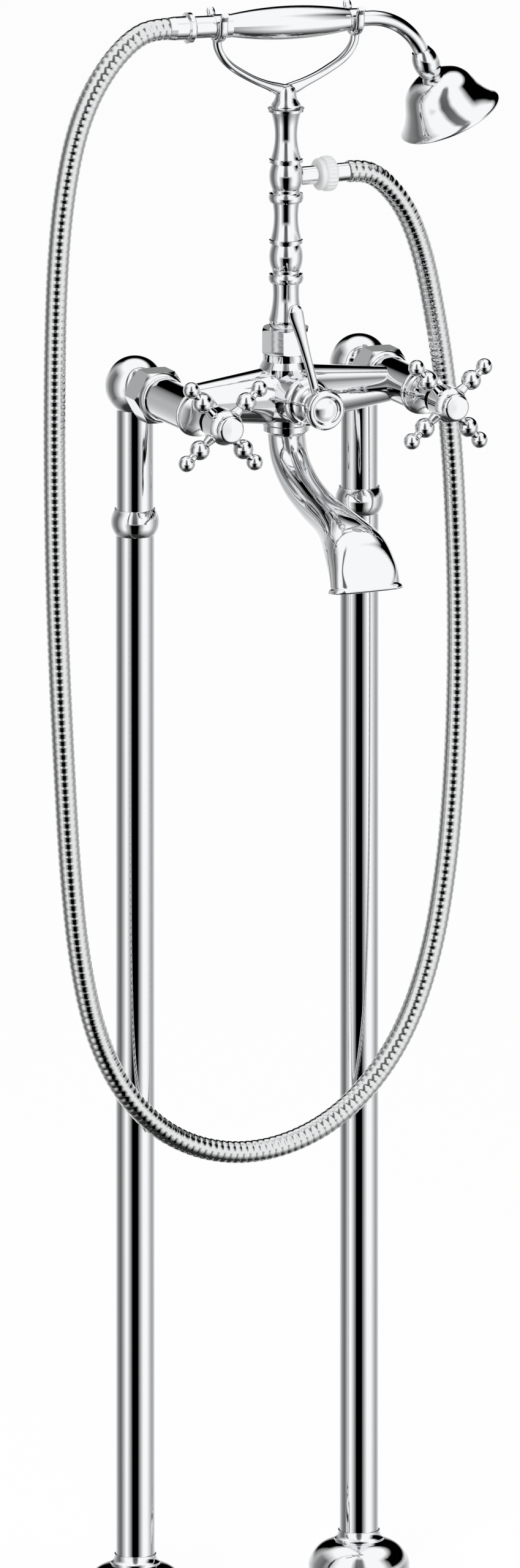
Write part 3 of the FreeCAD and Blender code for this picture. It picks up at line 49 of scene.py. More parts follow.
MM = 0.001
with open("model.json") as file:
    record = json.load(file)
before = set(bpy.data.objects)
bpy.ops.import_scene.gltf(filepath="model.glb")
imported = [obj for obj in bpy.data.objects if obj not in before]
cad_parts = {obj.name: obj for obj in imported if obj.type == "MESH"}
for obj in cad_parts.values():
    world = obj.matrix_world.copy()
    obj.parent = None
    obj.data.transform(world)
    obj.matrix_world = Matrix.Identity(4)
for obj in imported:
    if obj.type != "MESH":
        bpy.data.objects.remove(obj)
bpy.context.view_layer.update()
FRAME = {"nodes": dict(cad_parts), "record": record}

VALVE_HEIGHT = 0.760            # floor to the axis of the valves
RISER_FORWARD = 0.056           # standpipe's axis to the riser's axis
STATIC_BODY = "filler"
ROUND = 2                       # squareness of a section that is a circle or an ellipse

SLOT_FINISHES = {
    "polished_chrome": "polished chrome",
    "hose_metal": "hose chrome",
    "satin_white": "satin white plastic",
    "satin_grey": "satin grey plastic",
    "bare_brass": "machined brass",
    "stainless_steel": "stainless steel",
    "ceramic": "lapped ceramic",
    "sealing_rubber": "sealing rubber",
}


# ---------------------------------------------------------------- settings

class FinishSettings(bpy.types.PropertyGroup):
    """Colours and polish of the filler's finishes."""
    chrome: FloatVectorProperty(
        name="Chrome", description="Colour of the polished plating", subtype="COLOR", size=3,
        min=0, max=1, default=(0.83, 0.84, 0.85))
    chrome_roughness: FloatProperty(
        name="Chrome roughness", description="Roughness of the plating between its wipe marks",
        min=0, max=1, default=0.035)
    hose: FloatVectorProperty(
        name="Hose", description="Colour of the shower hose's metal strip", subtype="COLOR", size=3,
        min=0, max=1, default=(0.71, 0.715, 0.72))
    white: FloatVectorProperty(
        name="White plastic", description="Colour of the hose nut at the riser", subtype="COLOR", size=3,
        min=0, max=1, default=(0.74, 0.745, 0.75))
    grey: FloatVectorProperty(
        name="Faceplate", description="Colour of the rose's faceplate", subtype="COLOR", size=3,
        min=0, max=1, default=(0.52, 0.53, 0.54))


class HoseSettings(bpy.types.PropertyGroup):
    """The strip-wound shower hose."""
    radius: FloatProperty(
        name="Radius", description="Radius over the ridges", subtype="DISTANCE", unit="LENGTH",
        min=0.004, max=0.012, default=0.00688)
    groove: FloatProperty(
        name="Groove", description="Depth of the groove between two turns",
        subtype="DISTANCE", unit="LENGTH", min=0, max=0.002, default=0.00035)
    pitch: FloatProperty(
        name="Pitch", description="Distance from one ridge to the next", subtype="DISTANCE", unit="LENGTH",
        min=0.002, max=0.01, default=0.0043)
    sides: IntProperty(
        name="Sides", description="Corners of the hose's cross section", min=8, max=32, default=16)


class StageSettings(bpy.types.PropertyGroup):
    """The camera, and the room that the metal mirrors."""
    azimuth: FloatProperty(
        name="Azimuth", description="Camera's turn from the front, left of it if negative", subtype="ANGLE",
        default=math.radians(-24.8))
    elevation: FloatProperty(
        name="Elevation", description="Camera's height above the horizontal", subtype="ANGLE",
        default=math.radians(12.8))
    distance: FloatProperty(
        name="Distance", description="Camera to the middle of the picture",
        subtype="DISTANCE", unit="LENGTH", min=1, default=36.0)
    picture_height: FloatProperty(
        name="Picture height", description="Height that the picture covers at that distance",
        subtype="DISTANCE", unit="LENGTH", min=0.1, default=0.951)
    aim: FloatVectorProperty(
        name="Aim", description="Point in the middle of the picture", subtype="XYZ", unit="LENGTH", size=3,
        default=(-0.0173, -0.056, 0.5182))
    dark_half_angle: FloatProperty(
        name="Dark card", description="Half of the angle that the dark card before the filler covers",
        subtype="ANGLE", min=0, default=math.radians(23))
    room_strength: FloatProperty(
        name="Room", description="Brightness of the white room that the metal mirrors", min=0, default=1.12)


# ---------------------------------------------------------------- modelling helpers

def riser_point(right, up):
    """A place in the plane of the riser: metres right of its axis and above the valves' axis."""
    return Vector((right, -RISER_FORWARD, VALVE_HEIGHT + up))


def new_piece(name, bm, finish, smooth_angle=35):
    """Turns a bmesh into an object with one finish, smooth except at edges sharper than the angle."""
    mesh = bpy.data.meshes.new(name)
    bm.to_mesh(mesh)
    bm.free()
    mesh.shade_smooth()
    mesh.set_sharp_from_angle(angle=math.radians(smooth_angle))
    mesh.materials.append(bpy.data.materials[finish])
    piece = bpy.data.objects.new(name, mesh)
    bpy.context.scene.collection.objects.link(piece)
    return piece


def finish_piece(name, bm, body, node, finish="polished chrome", smooth_angle=35):
    """The piece that stands for a node and moves with its body."""
    piece = new_piece(name, bm, finish, smooth_angle)
    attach(piece, body)
    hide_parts(node)
    return piece


def through(points, steps):
    """Points along a smooth line through the given ones, with this many steps from each to the next."""
    points = [Vector(point) for point in points]
    last = len(points) - 1
    line = [points[0]]
    for i in range(last):
        before, here = points[max(i - 1, 0)], points[i]
        after, beyond = points[i + 1], points[min(i + 2, last)]
        for step in range(1, steps + 1):
            t = step / steps
            line.append(0.5 * (
                2 * here + t * (after - before)
                + t ** 2 * (2 * before - 5 * here + 4 * after - beyond)
                + t ** 3 * (3 * here - before - 3 * after + beyond)))
    return line


def linked(corners):
    """All corners that hang together with the given ones."""
    found, queue = set(corners), list(corners)
    while queue:
        for edge in queue.pop().link_edges:
            for corner in edge.verts:
                if corner not in found:
                    found.add(corner)
                    queue.append(corner)
    return list(found)


def turn_solid(bm, profile, at, axis, segments):
    """Adds a closed solid of revolution. The profile has distances along the axis and radii, in mm."""
    corners = [bm.verts.new((radius * MM, 0, along * MM)) for along, radius in profile]
    edges = [bm.edges.new(pair) for pair in zip(corners, corners[1:])]
    if profile[0][1] > 0:
        edges.append(bm.edges.new((corners[-1], corners[0])))
    bmesh.ops.spin(bm, geom=corners + edges, cent=(0, 0, 0), axis=(0, 0, 1), dvec=(0, 0, 0),
                   angle=2 * math.pi, steps=segments, use_merge=True)
    solid = linked(corners)
    bmesh.ops.remove_doubles(bm, verts=solid, dist=1e-7)
    solid = linked([corner for corner in corners if corner.is_valid])
    bmesh.ops.recalc_face_normals(bm, faces=list({face for corner in solid for face in corner.link_faces}))
    place = Matrix.Translation(at) @ Vector(axis).to_track_quat("Z", "Y").to_matrix().to_4x4()
    bmesh.ops.transform(bm, matrix=place, verts=solid)


def loft_solid(bm, rings, segments, hollow=False):
    """Adds a closed shell over rings and returns its corners, ring by ring.

    Each ring is a frame, two half widths in mm, and a squareness, from ROUND upwards. A hollow shell runs
    from its last ring back to its first one, and a full one is closed at both ends.
    """
    loops, corners = [], []
    for frame, wide, deep, squareness in rings:
        ring = bmesh.ops.create_circle(bm, cap_ends=False, segments=segments, radius=1)["verts"]
        for corner in ring:
            corner.co.x = math.copysign(abs(corner.co.x) ** (2 / squareness), corner.co.x) * wide * MM
            corner.co.y = math.copysign(abs(corner.co.y) ** (2 / squareness), corner.co.y) * deep * MM
        bmesh.ops.transform(bm, matrix=frame, verts=ring)
        loops.append(list({edge for corner in ring for edge in corner.link_edges}))
        corners += ring
    pairs = list(zip(loops, loops[1:]))
    if hollow:
        pairs.append((loops[-1], loops[0]))
    for before, after in pairs:
        bmesh.ops.bridge_loops(bm, edges=before + after)
    if not hollow:
        for end in (loops[0], loops[-1]):
            bmesh.ops.edgeloop_fill(bm, edges=end)
    bmesh.ops.recalc_face_normals(bm, faces=list({face for corner in corners for face in corner.link_faces}))
    return corners


def facing(way, across, at):
    """A frame whose Z runs along a way and whose X lies across it."""
    way = Vector(way).normalized()
    across = (Vector(across) - way * way.dot(Vector(across))).normalized()
    frame = Matrix((across, way.cross(across), way)).transposed().to_4x4()
    frame.translation = at
    return frame


def swept_rings(stations, across, steps):
    """Rings along a smooth line through stations of place (mm, in the frame), half widths and squareness."""
    line = through(stations, steps)
    rings = []
    for i, station in enumerate(line):
        before, after = line[max(i - 1, 0)], line[min(i + 1, len(line) - 1)]
        way = Vector(after[:3]) - Vector(before[:3])
        rings.append((facing(way, across, Vector(station[:3]) * MM), *station[3:]))
    return rings


# ---------------------------------------------------------------- shader helpers

def math_node(tree, kind, *values):
    """What a Math node makes of numbers and other nodes' outputs."""
    node = tree.nodes.new("ShaderNodeMath")
    node.operation = kind
    for socket, value in zip(node.inputs, values):
        if isinstance(value, (int, float)):
            socket.default_value = value
        else:
            tree.links.new(value, socket)
    return node.outputs[0]


def grey_ramp(tree, value, stops):
    """A ramp of greys. Each stop is a position and a shade."""
    node = tree.nodes.new("ShaderNodeValToRGB")
    node.color_ramp.interpolation = "LINEAR"
    keys = node.color_ramp.elements
    while len(keys) < len(stops):
        keys.new(0.5)
    for key, (position, shade) in zip(keys, stops):
        key.position = position
        key.color = (shade, shade, shade, 1)
    tree.links.new(value, node.inputs["Fac"])
    return node.outputs["Color"]


def mixed(tree, share, first, second):
    """A mix of two shaders, with the second one's share."""
    mix = tree.nodes.new("ShaderNodeMixShader")
    for socket, source in zip(mix.inputs, (share, first, second)):
        tree.links.new(source, socket)
    return mix.outputs[0]


def group_socket(group, name, into=True, default=0):
    """Gives a node group one more number to take in, or to give out."""
    way = "INPUT" if into else "OUTPUT"
    socket = group.interface.new_socket(name, in_out=way, socket_type="NodeSocketFloat")
    socket.default_value = default


# ---------------------------------------------------------------- finishes

def wipe_marks_group():
    """Roughness and height of a polished surface that has been wiped: broad smears and fine hairlines."""
    group = bpy.data.node_groups.new("Wipe marks", "ShaderNodeTree")
    group_socket(group, "Roughness", default=0.04)
    group_socket(group, "Smear", default=0.03)
    group_socket(group, "Hairline", default=0.02)
    group_socket(group, "Roughness", into=False)
    group_socket(group, "Height", into=False)
    nodes, links = group.nodes, group.links
    given, made = nodes.new("NodeGroupInput"), nodes.new("NodeGroupOutput")
    place = nodes.new("ShaderNodeTexCoord")

    smears = nodes.new("ShaderNodeTexNoise")
    smears.inputs["Scale"].default_value = 38
    smears.inputs["Detail"].default_value = 4
    smears.inputs["Roughness"].default_value = 0.65
    links.new(place.outputs["Object"], smears.inputs["Vector"])
    spread = nodes.new("ShaderNodeMapRange")
    spread.inputs["From Min"].default_value = 0.42
    spread.inputs["From Max"].default_value = 0.72
    links.new(smears.outputs["Fac"], spread.inputs["Value"])
    smear_amount = math_node(group, "MULTIPLY", spread.outputs["Result"], given.outputs["Smear"])

    stretch = nodes.new("ShaderNodeMapping")
    stretch.inputs["Scale"].default_value = (900, 900, 90)
    links.new(place.outputs["Object"], stretch.inputs["Vector"])
    hairs = nodes.new("ShaderNodeTexNoise")
    hairs.inputs["Scale"].default_value = 1
    hairs.inputs["Detail"].default_value = 2
    links.new(stretch.outputs["Vector"], hairs.inputs["Vector"])
    hair_amount = math_node(group, "MULTIPLY", hairs.outputs["Fac"], given.outputs["Hairline"])

    marks = math_node(group, "ADD", smear_amount, hair_amount)
    total = math_node(group, "ADD", marks, given.outputs["Roughness"])
    total.node.use_clamp = True
    links.new(total, made.inputs["Roughness"])
    links.new(smears.outputs["Fac"], made.inputs["Height"])


def wiped_finish(name, colour, metallic, roughness, smear, hairline, ripple):
    """A finish with wipe marks in its roughness and a faint ripple in its surface."""
    material = bpy.data.materials.new(name)
    material.use_nodes = True
    nodes, links = material.node_tree.nodes, material.node_tree.links
    shader = nodes["Principled BSDF"]
    shader.inputs["Base Color"].default_value = (*colour, 1)
    shader.inputs["Metallic"].default_value = metallic
    marks = nodes.new("ShaderNodeGroup")
    marks.node_tree = bpy.data.node_groups["Wipe marks"]
    marks.inputs["Roughness"].default_value = roughness
    marks.inputs["Smear"].default_value = smear
    marks.inputs["Hairline"].default_value = hairline
    links.new(marks.outputs["Roughness"], shader.inputs["Roughness"])
    if ripple:
        bump = nodes.new("ShaderNodeBump")
        bump.inputs["Strength"].default_value = 1
        bump.inputs["Distance"].default_value = ripple
        links.new(marks.outputs["Height"], bump.inputs["Height"])
        links.new(bump.outputs["Normal"], shader.inputs["Normal"])


class BATHFILLER_OT_finishes(bpy.types.Operator):
    """Make the finishes and give each piece of the frame its own"""
    bl_idname = "bathfiller.finishes"
    bl_label = "Finishes"

    def execute(self, context):
        look = context.scene.bathfiller_finish
        wipe_marks_group()
        finishes = (    # name, colour, metallic, roughness, smears, hairlines, and the ripple's height (m)
            ("polished chrome", look.chrome, 1, look.chrome_roughness, 0.03, 0.012, 0.00001),
            ("hose chrome", look.hose, 1, look.chrome_roughness + 0.05, 0.05, 0.03, 0),
            ("satin white plastic", look.white, 0, 0.32, 0.08, 0.05, 0.00002),
            ("satin grey plastic", look.grey, 0, 0.4, 0.08, 0.05, 0.00002),
            ("machined brass", (0.72, 0.52, 0.25), 1, 0.22, 0.08, 0.1, 0.00001),
            ("stainless steel", (0.55, 0.55, 0.56), 1, 0.2, 0.08, 0.1, 0.00001),
            ("lapped ceramic", (0.85, 0.84, 0.8), 0, 0.15, 0.05, 0.02, 0),
            ("sealing rubber", (0.02, 0.02, 0.02), 0, 0.6, 0.1, 0.1, 0.00003),
        )
        for finish in finishes:
            wiped_finish(*finish)
        for subpart in FRAME["record"]["subparts"]:
            mesh = FRAME["nodes"][subpart["node"]].data
            mesh.materials.clear()
            mesh.materials.append(bpy.data.materials[SLOT_FINISHES[subpart["material_slot"]]])
        return {"FINISHED"}


# ---------------------------------------------------------------- stage

FLOOR_RADIUS = 14.0
FLOOR_COLOUR = (0.96, 0.96, 0.96, 1)
FLOOR_GLOW = 0.8                # share of plain white in what the camera sees of the floor
LAMPS = (                       # name, place, watts and width
    ("key_light", (-1.6, -2.2, 2.4), 22, 1.4),
    ("fill_light", (2.2, -1.4, 1.8), 9, 1.6))
LAMP_AIM = (0, -0.05, 0.5)
PLAIN_LIGHT = (0.9, 0.9, 0.9, 1)                # what the world gives to matt surfaces
CARD_CORE, CARD_FADE = 7, 26    # degrees inside the dark card's edge to full dark, and outside it to none
CLEAR = 0.998                   # share of its light that the room keeps clear of each dark thing


class BATHFILLER_OT_stage(bpy.types.Operator):
    """Set up the camera, the floor, the lamps and the room that the metal mirrors"""
    bl_idname = "bathfiller.stage"
    bl_label = "Camera and studio"

    def execute(self, context):
        stage = context.scene.bathfiller_stage
        context.scene.view_settings.view_transform = "Standard"
        self.camera(context, stage)
        self.floor()
        self.lamps(context)
        self.world(context, stage)
        return {"FINISHED"}

    @staticmethod
    def camera(context, stage):
        """A camera with a long lens, at the photograph's angle."""
        towards = Vector((
            math.sin(stage.azimuth) * math.cos(stage.elevation),
            -math.cos(stage.azimuth) * math.cos(stage.elevation),
            math.sin(stage.elevation)))
        lens = bpy.data.cameras.new("Camera")
        lens.sensor_fit = "VERTICAL"
        lens.sensor_height = 24
        lens.sensor_width = 65          # keeps cameras that are fitted to the width near the filler
        lens.lens = lens.sensor_height * stage.distance / stage.picture_height
        lens.clip_end = 100
        camera = bpy.data.objects.new("Camera", lens)
        camera.location = Vector(stage.aim) + towards * stage.distance
        camera.rotation_euler = towards.to_track_quat("Z", "Y").to_euler()
        context.scene.collection.objects.link(camera)
        context.scene.camera = camera

    @staticmethod
    def floor():
        """A pale floor that is nearly white to the camera and keeps the filler's shadow."""
        bm = bmesh.new()
        bmesh.ops.create_circle(bm, cap_ends=True, segments=64, radius=FLOOR_RADIUS)
        material = bpy.data.materials.new("studio floor")
        material.use_nodes = True
        tree = material.node_tree
        tree.nodes.clear()
        paint = tree.nodes.new("ShaderNodeBsdfDiffuse")
        paint.inputs["Color"].default_value = FLOOR_COLOUR
        glow = tree.nodes.new("ShaderNodeEmission")
        glow.inputs["Strength"].default_value = 1
        rays = tree.nodes.new("ShaderNodeLightPath")
        share = math_node(tree, "MULTIPLY", rays.outputs["Is Camera Ray"], FLOOR_GLOW)
        out = tree.nodes.new("ShaderNodeOutputMaterial")
        tree.links.new(mixed(tree, share, paint.outputs[0], glow.outputs[0]), out.inputs["Surface"])
        floor = new_piece("studio_floor", bm, material.name)
        floor.visible_glossy = False

    @staticmethod
    def lamps(context):
        """Two soft lamps, which the metal doesn't mirror."""
        for name, place, watts, width in LAMPS:
            lamp = bpy.data.lights.new(name, "AREA")
            lamp.energy = watts
            lamp.size = width
            holder = bpy.data.objects.new(name, lamp)
            holder.location = place
            aim = Vector(LAMP_AIM) - Vector(place)
            holder.rotation_euler = aim.to_track_quat("-Z", "Y").to_euler()
            holder.visible_glossy = False
            context.scene.collection.objects.link(holder)

    def world(self, context, stage):
        """White to the camera, plain light to matt surfaces, a white room with dark strips to mirrors."""
        world = bpy.data.worlds.new("Studio")
        world.use_nodes = True
        tree = world.node_tree
        tree.nodes.clear()
        mirrored = tree.nodes.new("ShaderNodeBackground")
        mirrored.inputs["Strength"].default_value = stage.room_strength
        tree.links.new(self.room_light(tree, stage), mirrored.inputs["Color"])
        plain = tree.nodes.new("ShaderNodeBackground")
        plain.inputs["Color"].default_value = PLAIN_LIGHT
        white = tree.nodes.new("ShaderNodeBackground")
        white.inputs["Color"].default_value = (1, 1, 1, 1)
        rays = tree.nodes.new("ShaderNodeLightPath")
        lit = mixed(tree, rays.outputs["Is Glossy Ray"], plain.outputs[0], mirrored.outputs[0])
        whole = mixed(tree, rays.outputs["Is Camera Ray"], lit, white.outputs[0])
        out = tree.nodes.new("ShaderNodeOutputWorld")
        tree.links.new(whole, out.inputs["Surface"])
        context.scene.world = world

    @staticmethod
    def room_light(tree, stage):
        """How light the mirrored room is: by bearing from the photograph's side, and by height."""
        place = tree.nodes.new("ShaderNodeTexCoord")
        turn = tree.nodes.new("ShaderNodeVectorRotate")
        turn.rotation_type = "Z_AXIS"
        turn.inputs["Angle"].default_value = -stage.azimuth
        tree.links.new(place.outputs["Generated"], turn.inputs["Vector"])
        split = tree.nodes.new("ShaderNodeSeparateXYZ")
        tree.links.new(turn.outputs["Vector"], split.inputs["Vector"])
        ahead = math_node(tree, "MULTIPLY", split.outputs["Y"], -1)
        bearing = math_node(tree, "ARCTAN2", split.outputs["X"], ahead)
        around = math_node(tree, "ADD", math_node(tree, "DIVIDE", bearing, 2 * math.pi), 0.5)
        rise = math_node(tree, "ARCSINE", split.outputs["Z"])
        height = math_node(tree, "ADD", math_node(tree, "DIVIDE", rise, math.pi), 0.5)

        def at_bearing(*stops):
            return grey_ramp(tree, around, [(degrees / 360 + 0.5, shade) for degrees, shade in stops])

        def at_height(*stops):
            return grey_ramp(tree, height, [(degrees / 180 + 0.5, shade) for degrees, shade in stops])

        half = math.degrees(stage.dark_half_angle)
        core, fade = half - CARD_CORE, half + CARD_FADE
        dark = (    # each where it stands and how high, as stops of degrees and darkness
            # the dark card before the filler, and the narrow gap between the lamps above it
            (at_bearing((-fade, 0), (-half, 0.8), (-core, 1), (core, 1), (half, 0.8), (fade, 0)),
             at_height((-70, 0), (-55, 1), (-8, 1), (-1, 0))),
            (at_bearing((-20, 0), (-9, 1), (9, 1), (20, 0)),
             at_height((-8, 0), (-1, 0.9), (60, 0.8), (75, 0))),
            # the grey walls at its left and its right
            (at_bearing((-160, 0), (-115, 0.75), (-92, 0.87), (-72, 0.5), (-54, 0)),
             at_height((-60, 0), (-35, 1), (30, 1), (55, 0))),
            (at_bearing((72, 0), (100, 0.5), (116, 0.66), (130, 0.5), (165, 0)),
             at_height((-60, 0), (-35, 1), (0, 1), (12, 0))),
            # the dark back of the room, above the backdrop
            (at_bearing((-150, 1), (-125, 0), (58, 0), (84, 1)),
             at_height((5, 0), (15, 1), (41, 1), (53, 0))),
        )
        light = at_height((-90, 0.02), (-62, 0.04), (-45, 0.5), (-30, 1))       # dim towards the floor
        for where, how_high in dark:
            shadow = math_node(tree, "MULTIPLY", where, how_high)
            light = math_node(tree, "MULTIPLY", light, math_node(tree, "SUBTRACT", CLEAR, shadow))
        return light


# ---------------------------------------------------------------- shower hose

# The shower hose's route in the plane of the riser, in metres: distance right of the riser and above the
# valves' axis, from the hand shower round the hanging loop to the riser's outlet.
HOSE_ROUTE = [
    (-0.079, 0.232), (-0.09, 0.2324), (-0.101, 0.228), (-0.1115, 0.2195), (-0.1215, 0.208), (-0.131, 0.193),
    (-0.1387, 0.1745), (-0.1447, 0.151), (-0.1495, 0.121), (-0.1526, 0.083), (-0.154, 0.038),
    (-0.1544, -0.012), (-0.154, -0.064), (-0.1528, -0.118), (-0.1506, -0.171), (-0.1476, -0.228),
    (-0.144, -0.287), (-0.138, -0.342), (-0.1265, -0.391), (-0.105, -0.4315), (-0.071, -0.4605),
    (-0.03, -0.472), (0.012, -0.466), (0.049, -0.4445), (0.079, -0.408), (0.0975, -0.3595),
    (0.1075, -0.306), (0.1125, -0.25), (0.1148, -0.196), (0.115, -0.146), (0.1138, -0.099),
    (0.1118, -0.057), (0.1083, -0.019), (0.1038, 0.015), (0.0983, 0.0455), (0.0933, 0.0695),
    (0.0882, 0.0868), (0.0823, 0.1013), (0.0758, 0.1123), (0.0685, 0.1212), (0.0608, 0.1283),
    (0.0514, 0.1328), (0.041, 0.133),
]

# One turn of the metal strip: shares of the pitch, and how far the surface has come from groove to crest.
STRIP_SHAPE = ((0.0, 0.0), (0.16, 0.7), (0.5, 1.0), (0.84, 0.7))

OUTLET_HEIGHT = 0.133           # above the axis of the valves
# The white nut at the riser's outlet: distance right of the riser, radius and depth of the flutes, in mm.
OUTLET_NUT = (
    (20.5, 8.6, 0), (20.6, 9.2, 0), (21.0, 9.6, 0), (21.6, 9.8, 0), (23.2, 9.8, 0), (23.7, 9.5, 0),
    (24.0, 9.4, 0), (24.2, 10.0, 0.1), (24.6, 10.5, 0.4), (25.2, 10.75, 0.6), (29.0, 10.75, 0.6),
    (30.0, 10.5, 0.5), (30.8, 9.9, 0.25), (31.3, 9.1, 0.05), (31.5, 8.3, 0))
OUTLET_FLUTES = 24
OUTLET_SIDES = 6 * OUTLET_FLUTES


class BATHFILLER_OT_hose(bpy.types.Operator):
    """Wind the metal shower hose along its hanging route"""
    bl_idname = "bathfiller.hose"
    bl_label = "Shower hose"

    def execute(self, context):
        made = context.scene.bathfiller_hose
        line = self.centreline(context)
        lengths = [0.0]
        for before, after in zip(line, line[1:]):
            lengths.append(lengths[-1] + (after - before).length)
        bm = self.wound_tube(self.ring_frames(line, lengths, made), made.sides)
        nut = self.outlet_nut()
        hose = new_piece("shower_hose_wound", bm, "hose chrome", smooth_angle=60)
        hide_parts("shower_hose")
        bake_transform(hose)
        return {"FINISHED"}

    @staticmethod
    def centreline(context):
        """Points along a smooth curve that has the route's points as its control points."""
        curve = bpy.data.curves.new("hose_route", "CURVE")
        curve.dimensions = "3D"
        curve.resolution_u = 12
        spline = curve.splines.new("NURBS")
        spline.points.add(len(HOSE_ROUTE) - 1)
        for point, (right, up) in zip(spline.points, HOSE_ROUTE):
            point.co = (*riser_point(right, up), 1)
        spline.order_u = 3
        spline.use_endpoint_u = True
        guide = bpy.data.objects.new("hose_route", curve)
        context.scene.collection.objects.link(guide)
        context.view_layer.update()
        mesh = bpy.data.meshes.new_from_object(guide)
        points = [vertex.co.copy() for vertex in mesh.vertices]
        bpy.data.meshes.remove(mesh)
        bpy.data.objects.remove(guide)
        bpy.data.curves.remove(curve)
        return points

    @staticmethod
    def ring_frames(line, lengths, made):
        """Frames for rings along the line, each scaled to its radius, with whole turns of the strip."""
        turns = round(lengths[-1] / made.pitch)
        pitch = lengths[-1] / turns
        rings = [(turn * pitch + share * pitch, made.radius - made.groove * (1 - rise))
                 for turn in range(turns) for share, rise in STRIP_SHAPE]
        rings.append((lengths[-1], made.radius - made.groove))
        frames, at = [], 0
        for along, radius in rings:
            while at < len(lengths) - 2 and lengths[at + 1] < along:
                at += 1
            share = (along - lengths[at]) / (lengths[at + 1] - lengths[at])
            before, after = line[max(at - 1, 0)], line[min(at + 2, len(line) - 1)]
            near = (line[at + 1] - before).normalized()
            far = (after - line[at]).normalized()
            spot = line[at].lerp(line[at + 1], share)
            frame = facing(way=near.lerp(far, share), across=(0, 1, 0), at=spot)
            frames.append(frame @ Matrix.Diagonal((radius, radius, 1, 1)))
        return frames

    @staticmethod
    def wound_tube(frames, sides):
        """A closed tube that is drawn from a disc through all the frames."""
        bm = bmesh.new()
        bmesh.ops.create_circle(bm, cap_ends=True, segments=sides, radius=1)
        bmesh.ops.transform(bm, matrix=frames[0], verts=bm.verts)
        rim = list(bm.edges)
        for before, after in zip(frames, frames[1:]):
            grown = bmesh.ops.extrude_edge_only(bm, edges=rim)["geom"]
            rim = [item for item in grown if isinstance(item, bmesh.types.BMEdge)
                   and len(item.link_faces) == 1]
            corners = [item for item in grown if isinstance(item, bmesh.types.BMVert)]
            bmesh.ops.transform(bm, matrix=after @ before.inverted(), verts=corners)
        bmesh.ops.edgeloop_fill(bm, edges=rim)
        bmesh.ops.recalc_face_normals(bm, faces=bm.faces)
        return bm

    @staticmethod
    def outlet_nut():
        """The white nut at the riser's outlet, with a plain collar and a fluted grip."""
        middles = [riser_point(along * MM, OUTLET_HEIGHT) for along, radius, flute in OUTLET_NUT]
        rings = [(facing(way=(1, 0, 0), across=(0, 1, 0), at=middle), radius, radius, ROUND)
                 for middle, (along, radius, flute) in zip(middles, OUTLET_NUT)]
        bm = bmesh.new()
        corners = loft_solid(bm, rings, segments=OUTLET_SIDES)
        for i, corner in enumerate(corners):
            middle, flute = middles[i // OUTLET_SIDES], OUTLET_NUT[i // OUTLET_SIDES][2]
            out = corner.co - middle
            ridge = abs(math.cos(math.atan2(out.z, out.y) * OUTLET_FLUTES / 2)) - 1
            corner.co = middle + out * (1 + ridge * flute * MM / out.length)
        return finish_piece("outlet_nut_fluted", bm, STATIC_BODY, "outlet_nut",
                            "satin white plastic", smooth_angle=50)


# ---------------------------------------------------------------- spout

# The spout's outside: distance ahead of the riser and above the valves' axis, the heading in degrees below
# the horizontal, the two half widths in mm, and the squareness of the section.
SPOUT_SECTIONS = (
    (0.0, -24.5, 90, 11.5, 11.5, 2), (5.13, -39.7, 64, 11.5, 11.5, 2), (20.5, -52.8, 36, 11.5, 11.3, 2),
    (45.6, -62.2, 21, 11.9, 11.1, 2), (74.1, -68.0, 24, 14.1, 11.6, 2.2),
    (97.0, -76.2, 46, 18.9, 14.2, 2.5), (109.6, -87.0, 69, 21.0, 12.2, 2.9),
    (114.0, -97.0, 80, 21.75, 10.5, 3))
SPOUT_STEPS = 7                 # rings from one section to the next
SPOUT_SIDES = 96
SPOUT_SPIGOT = ((14.5, 8.8), (0.3, 8.8), (0.3, 11.0))   # height above the first section and radius
SPOUT_BORE = 6.8                # radius inside the spigot
SPOUT_WALL = 2.0
SPOUT_FACE = ((110.2, -64.0), (124.6, -98.0))   # the flat face's top and bottom on the middle line
SPOUT_FACE_WALL = 1.8
SPOUT_FACE_EDGE = 0.5           # how softly the face turns into the sides
# The rolled lip below the mouth: how far along the heading and how far out, in mm.
SPOUT_LIP = (
    (0.4, 0.5), (1.0, 1.2), (1.8, 1.65), (2.7, 1.7), (3.3, 1.3), (3.6, 0.5), (3.5, -0.5), (2.9, -1.5))


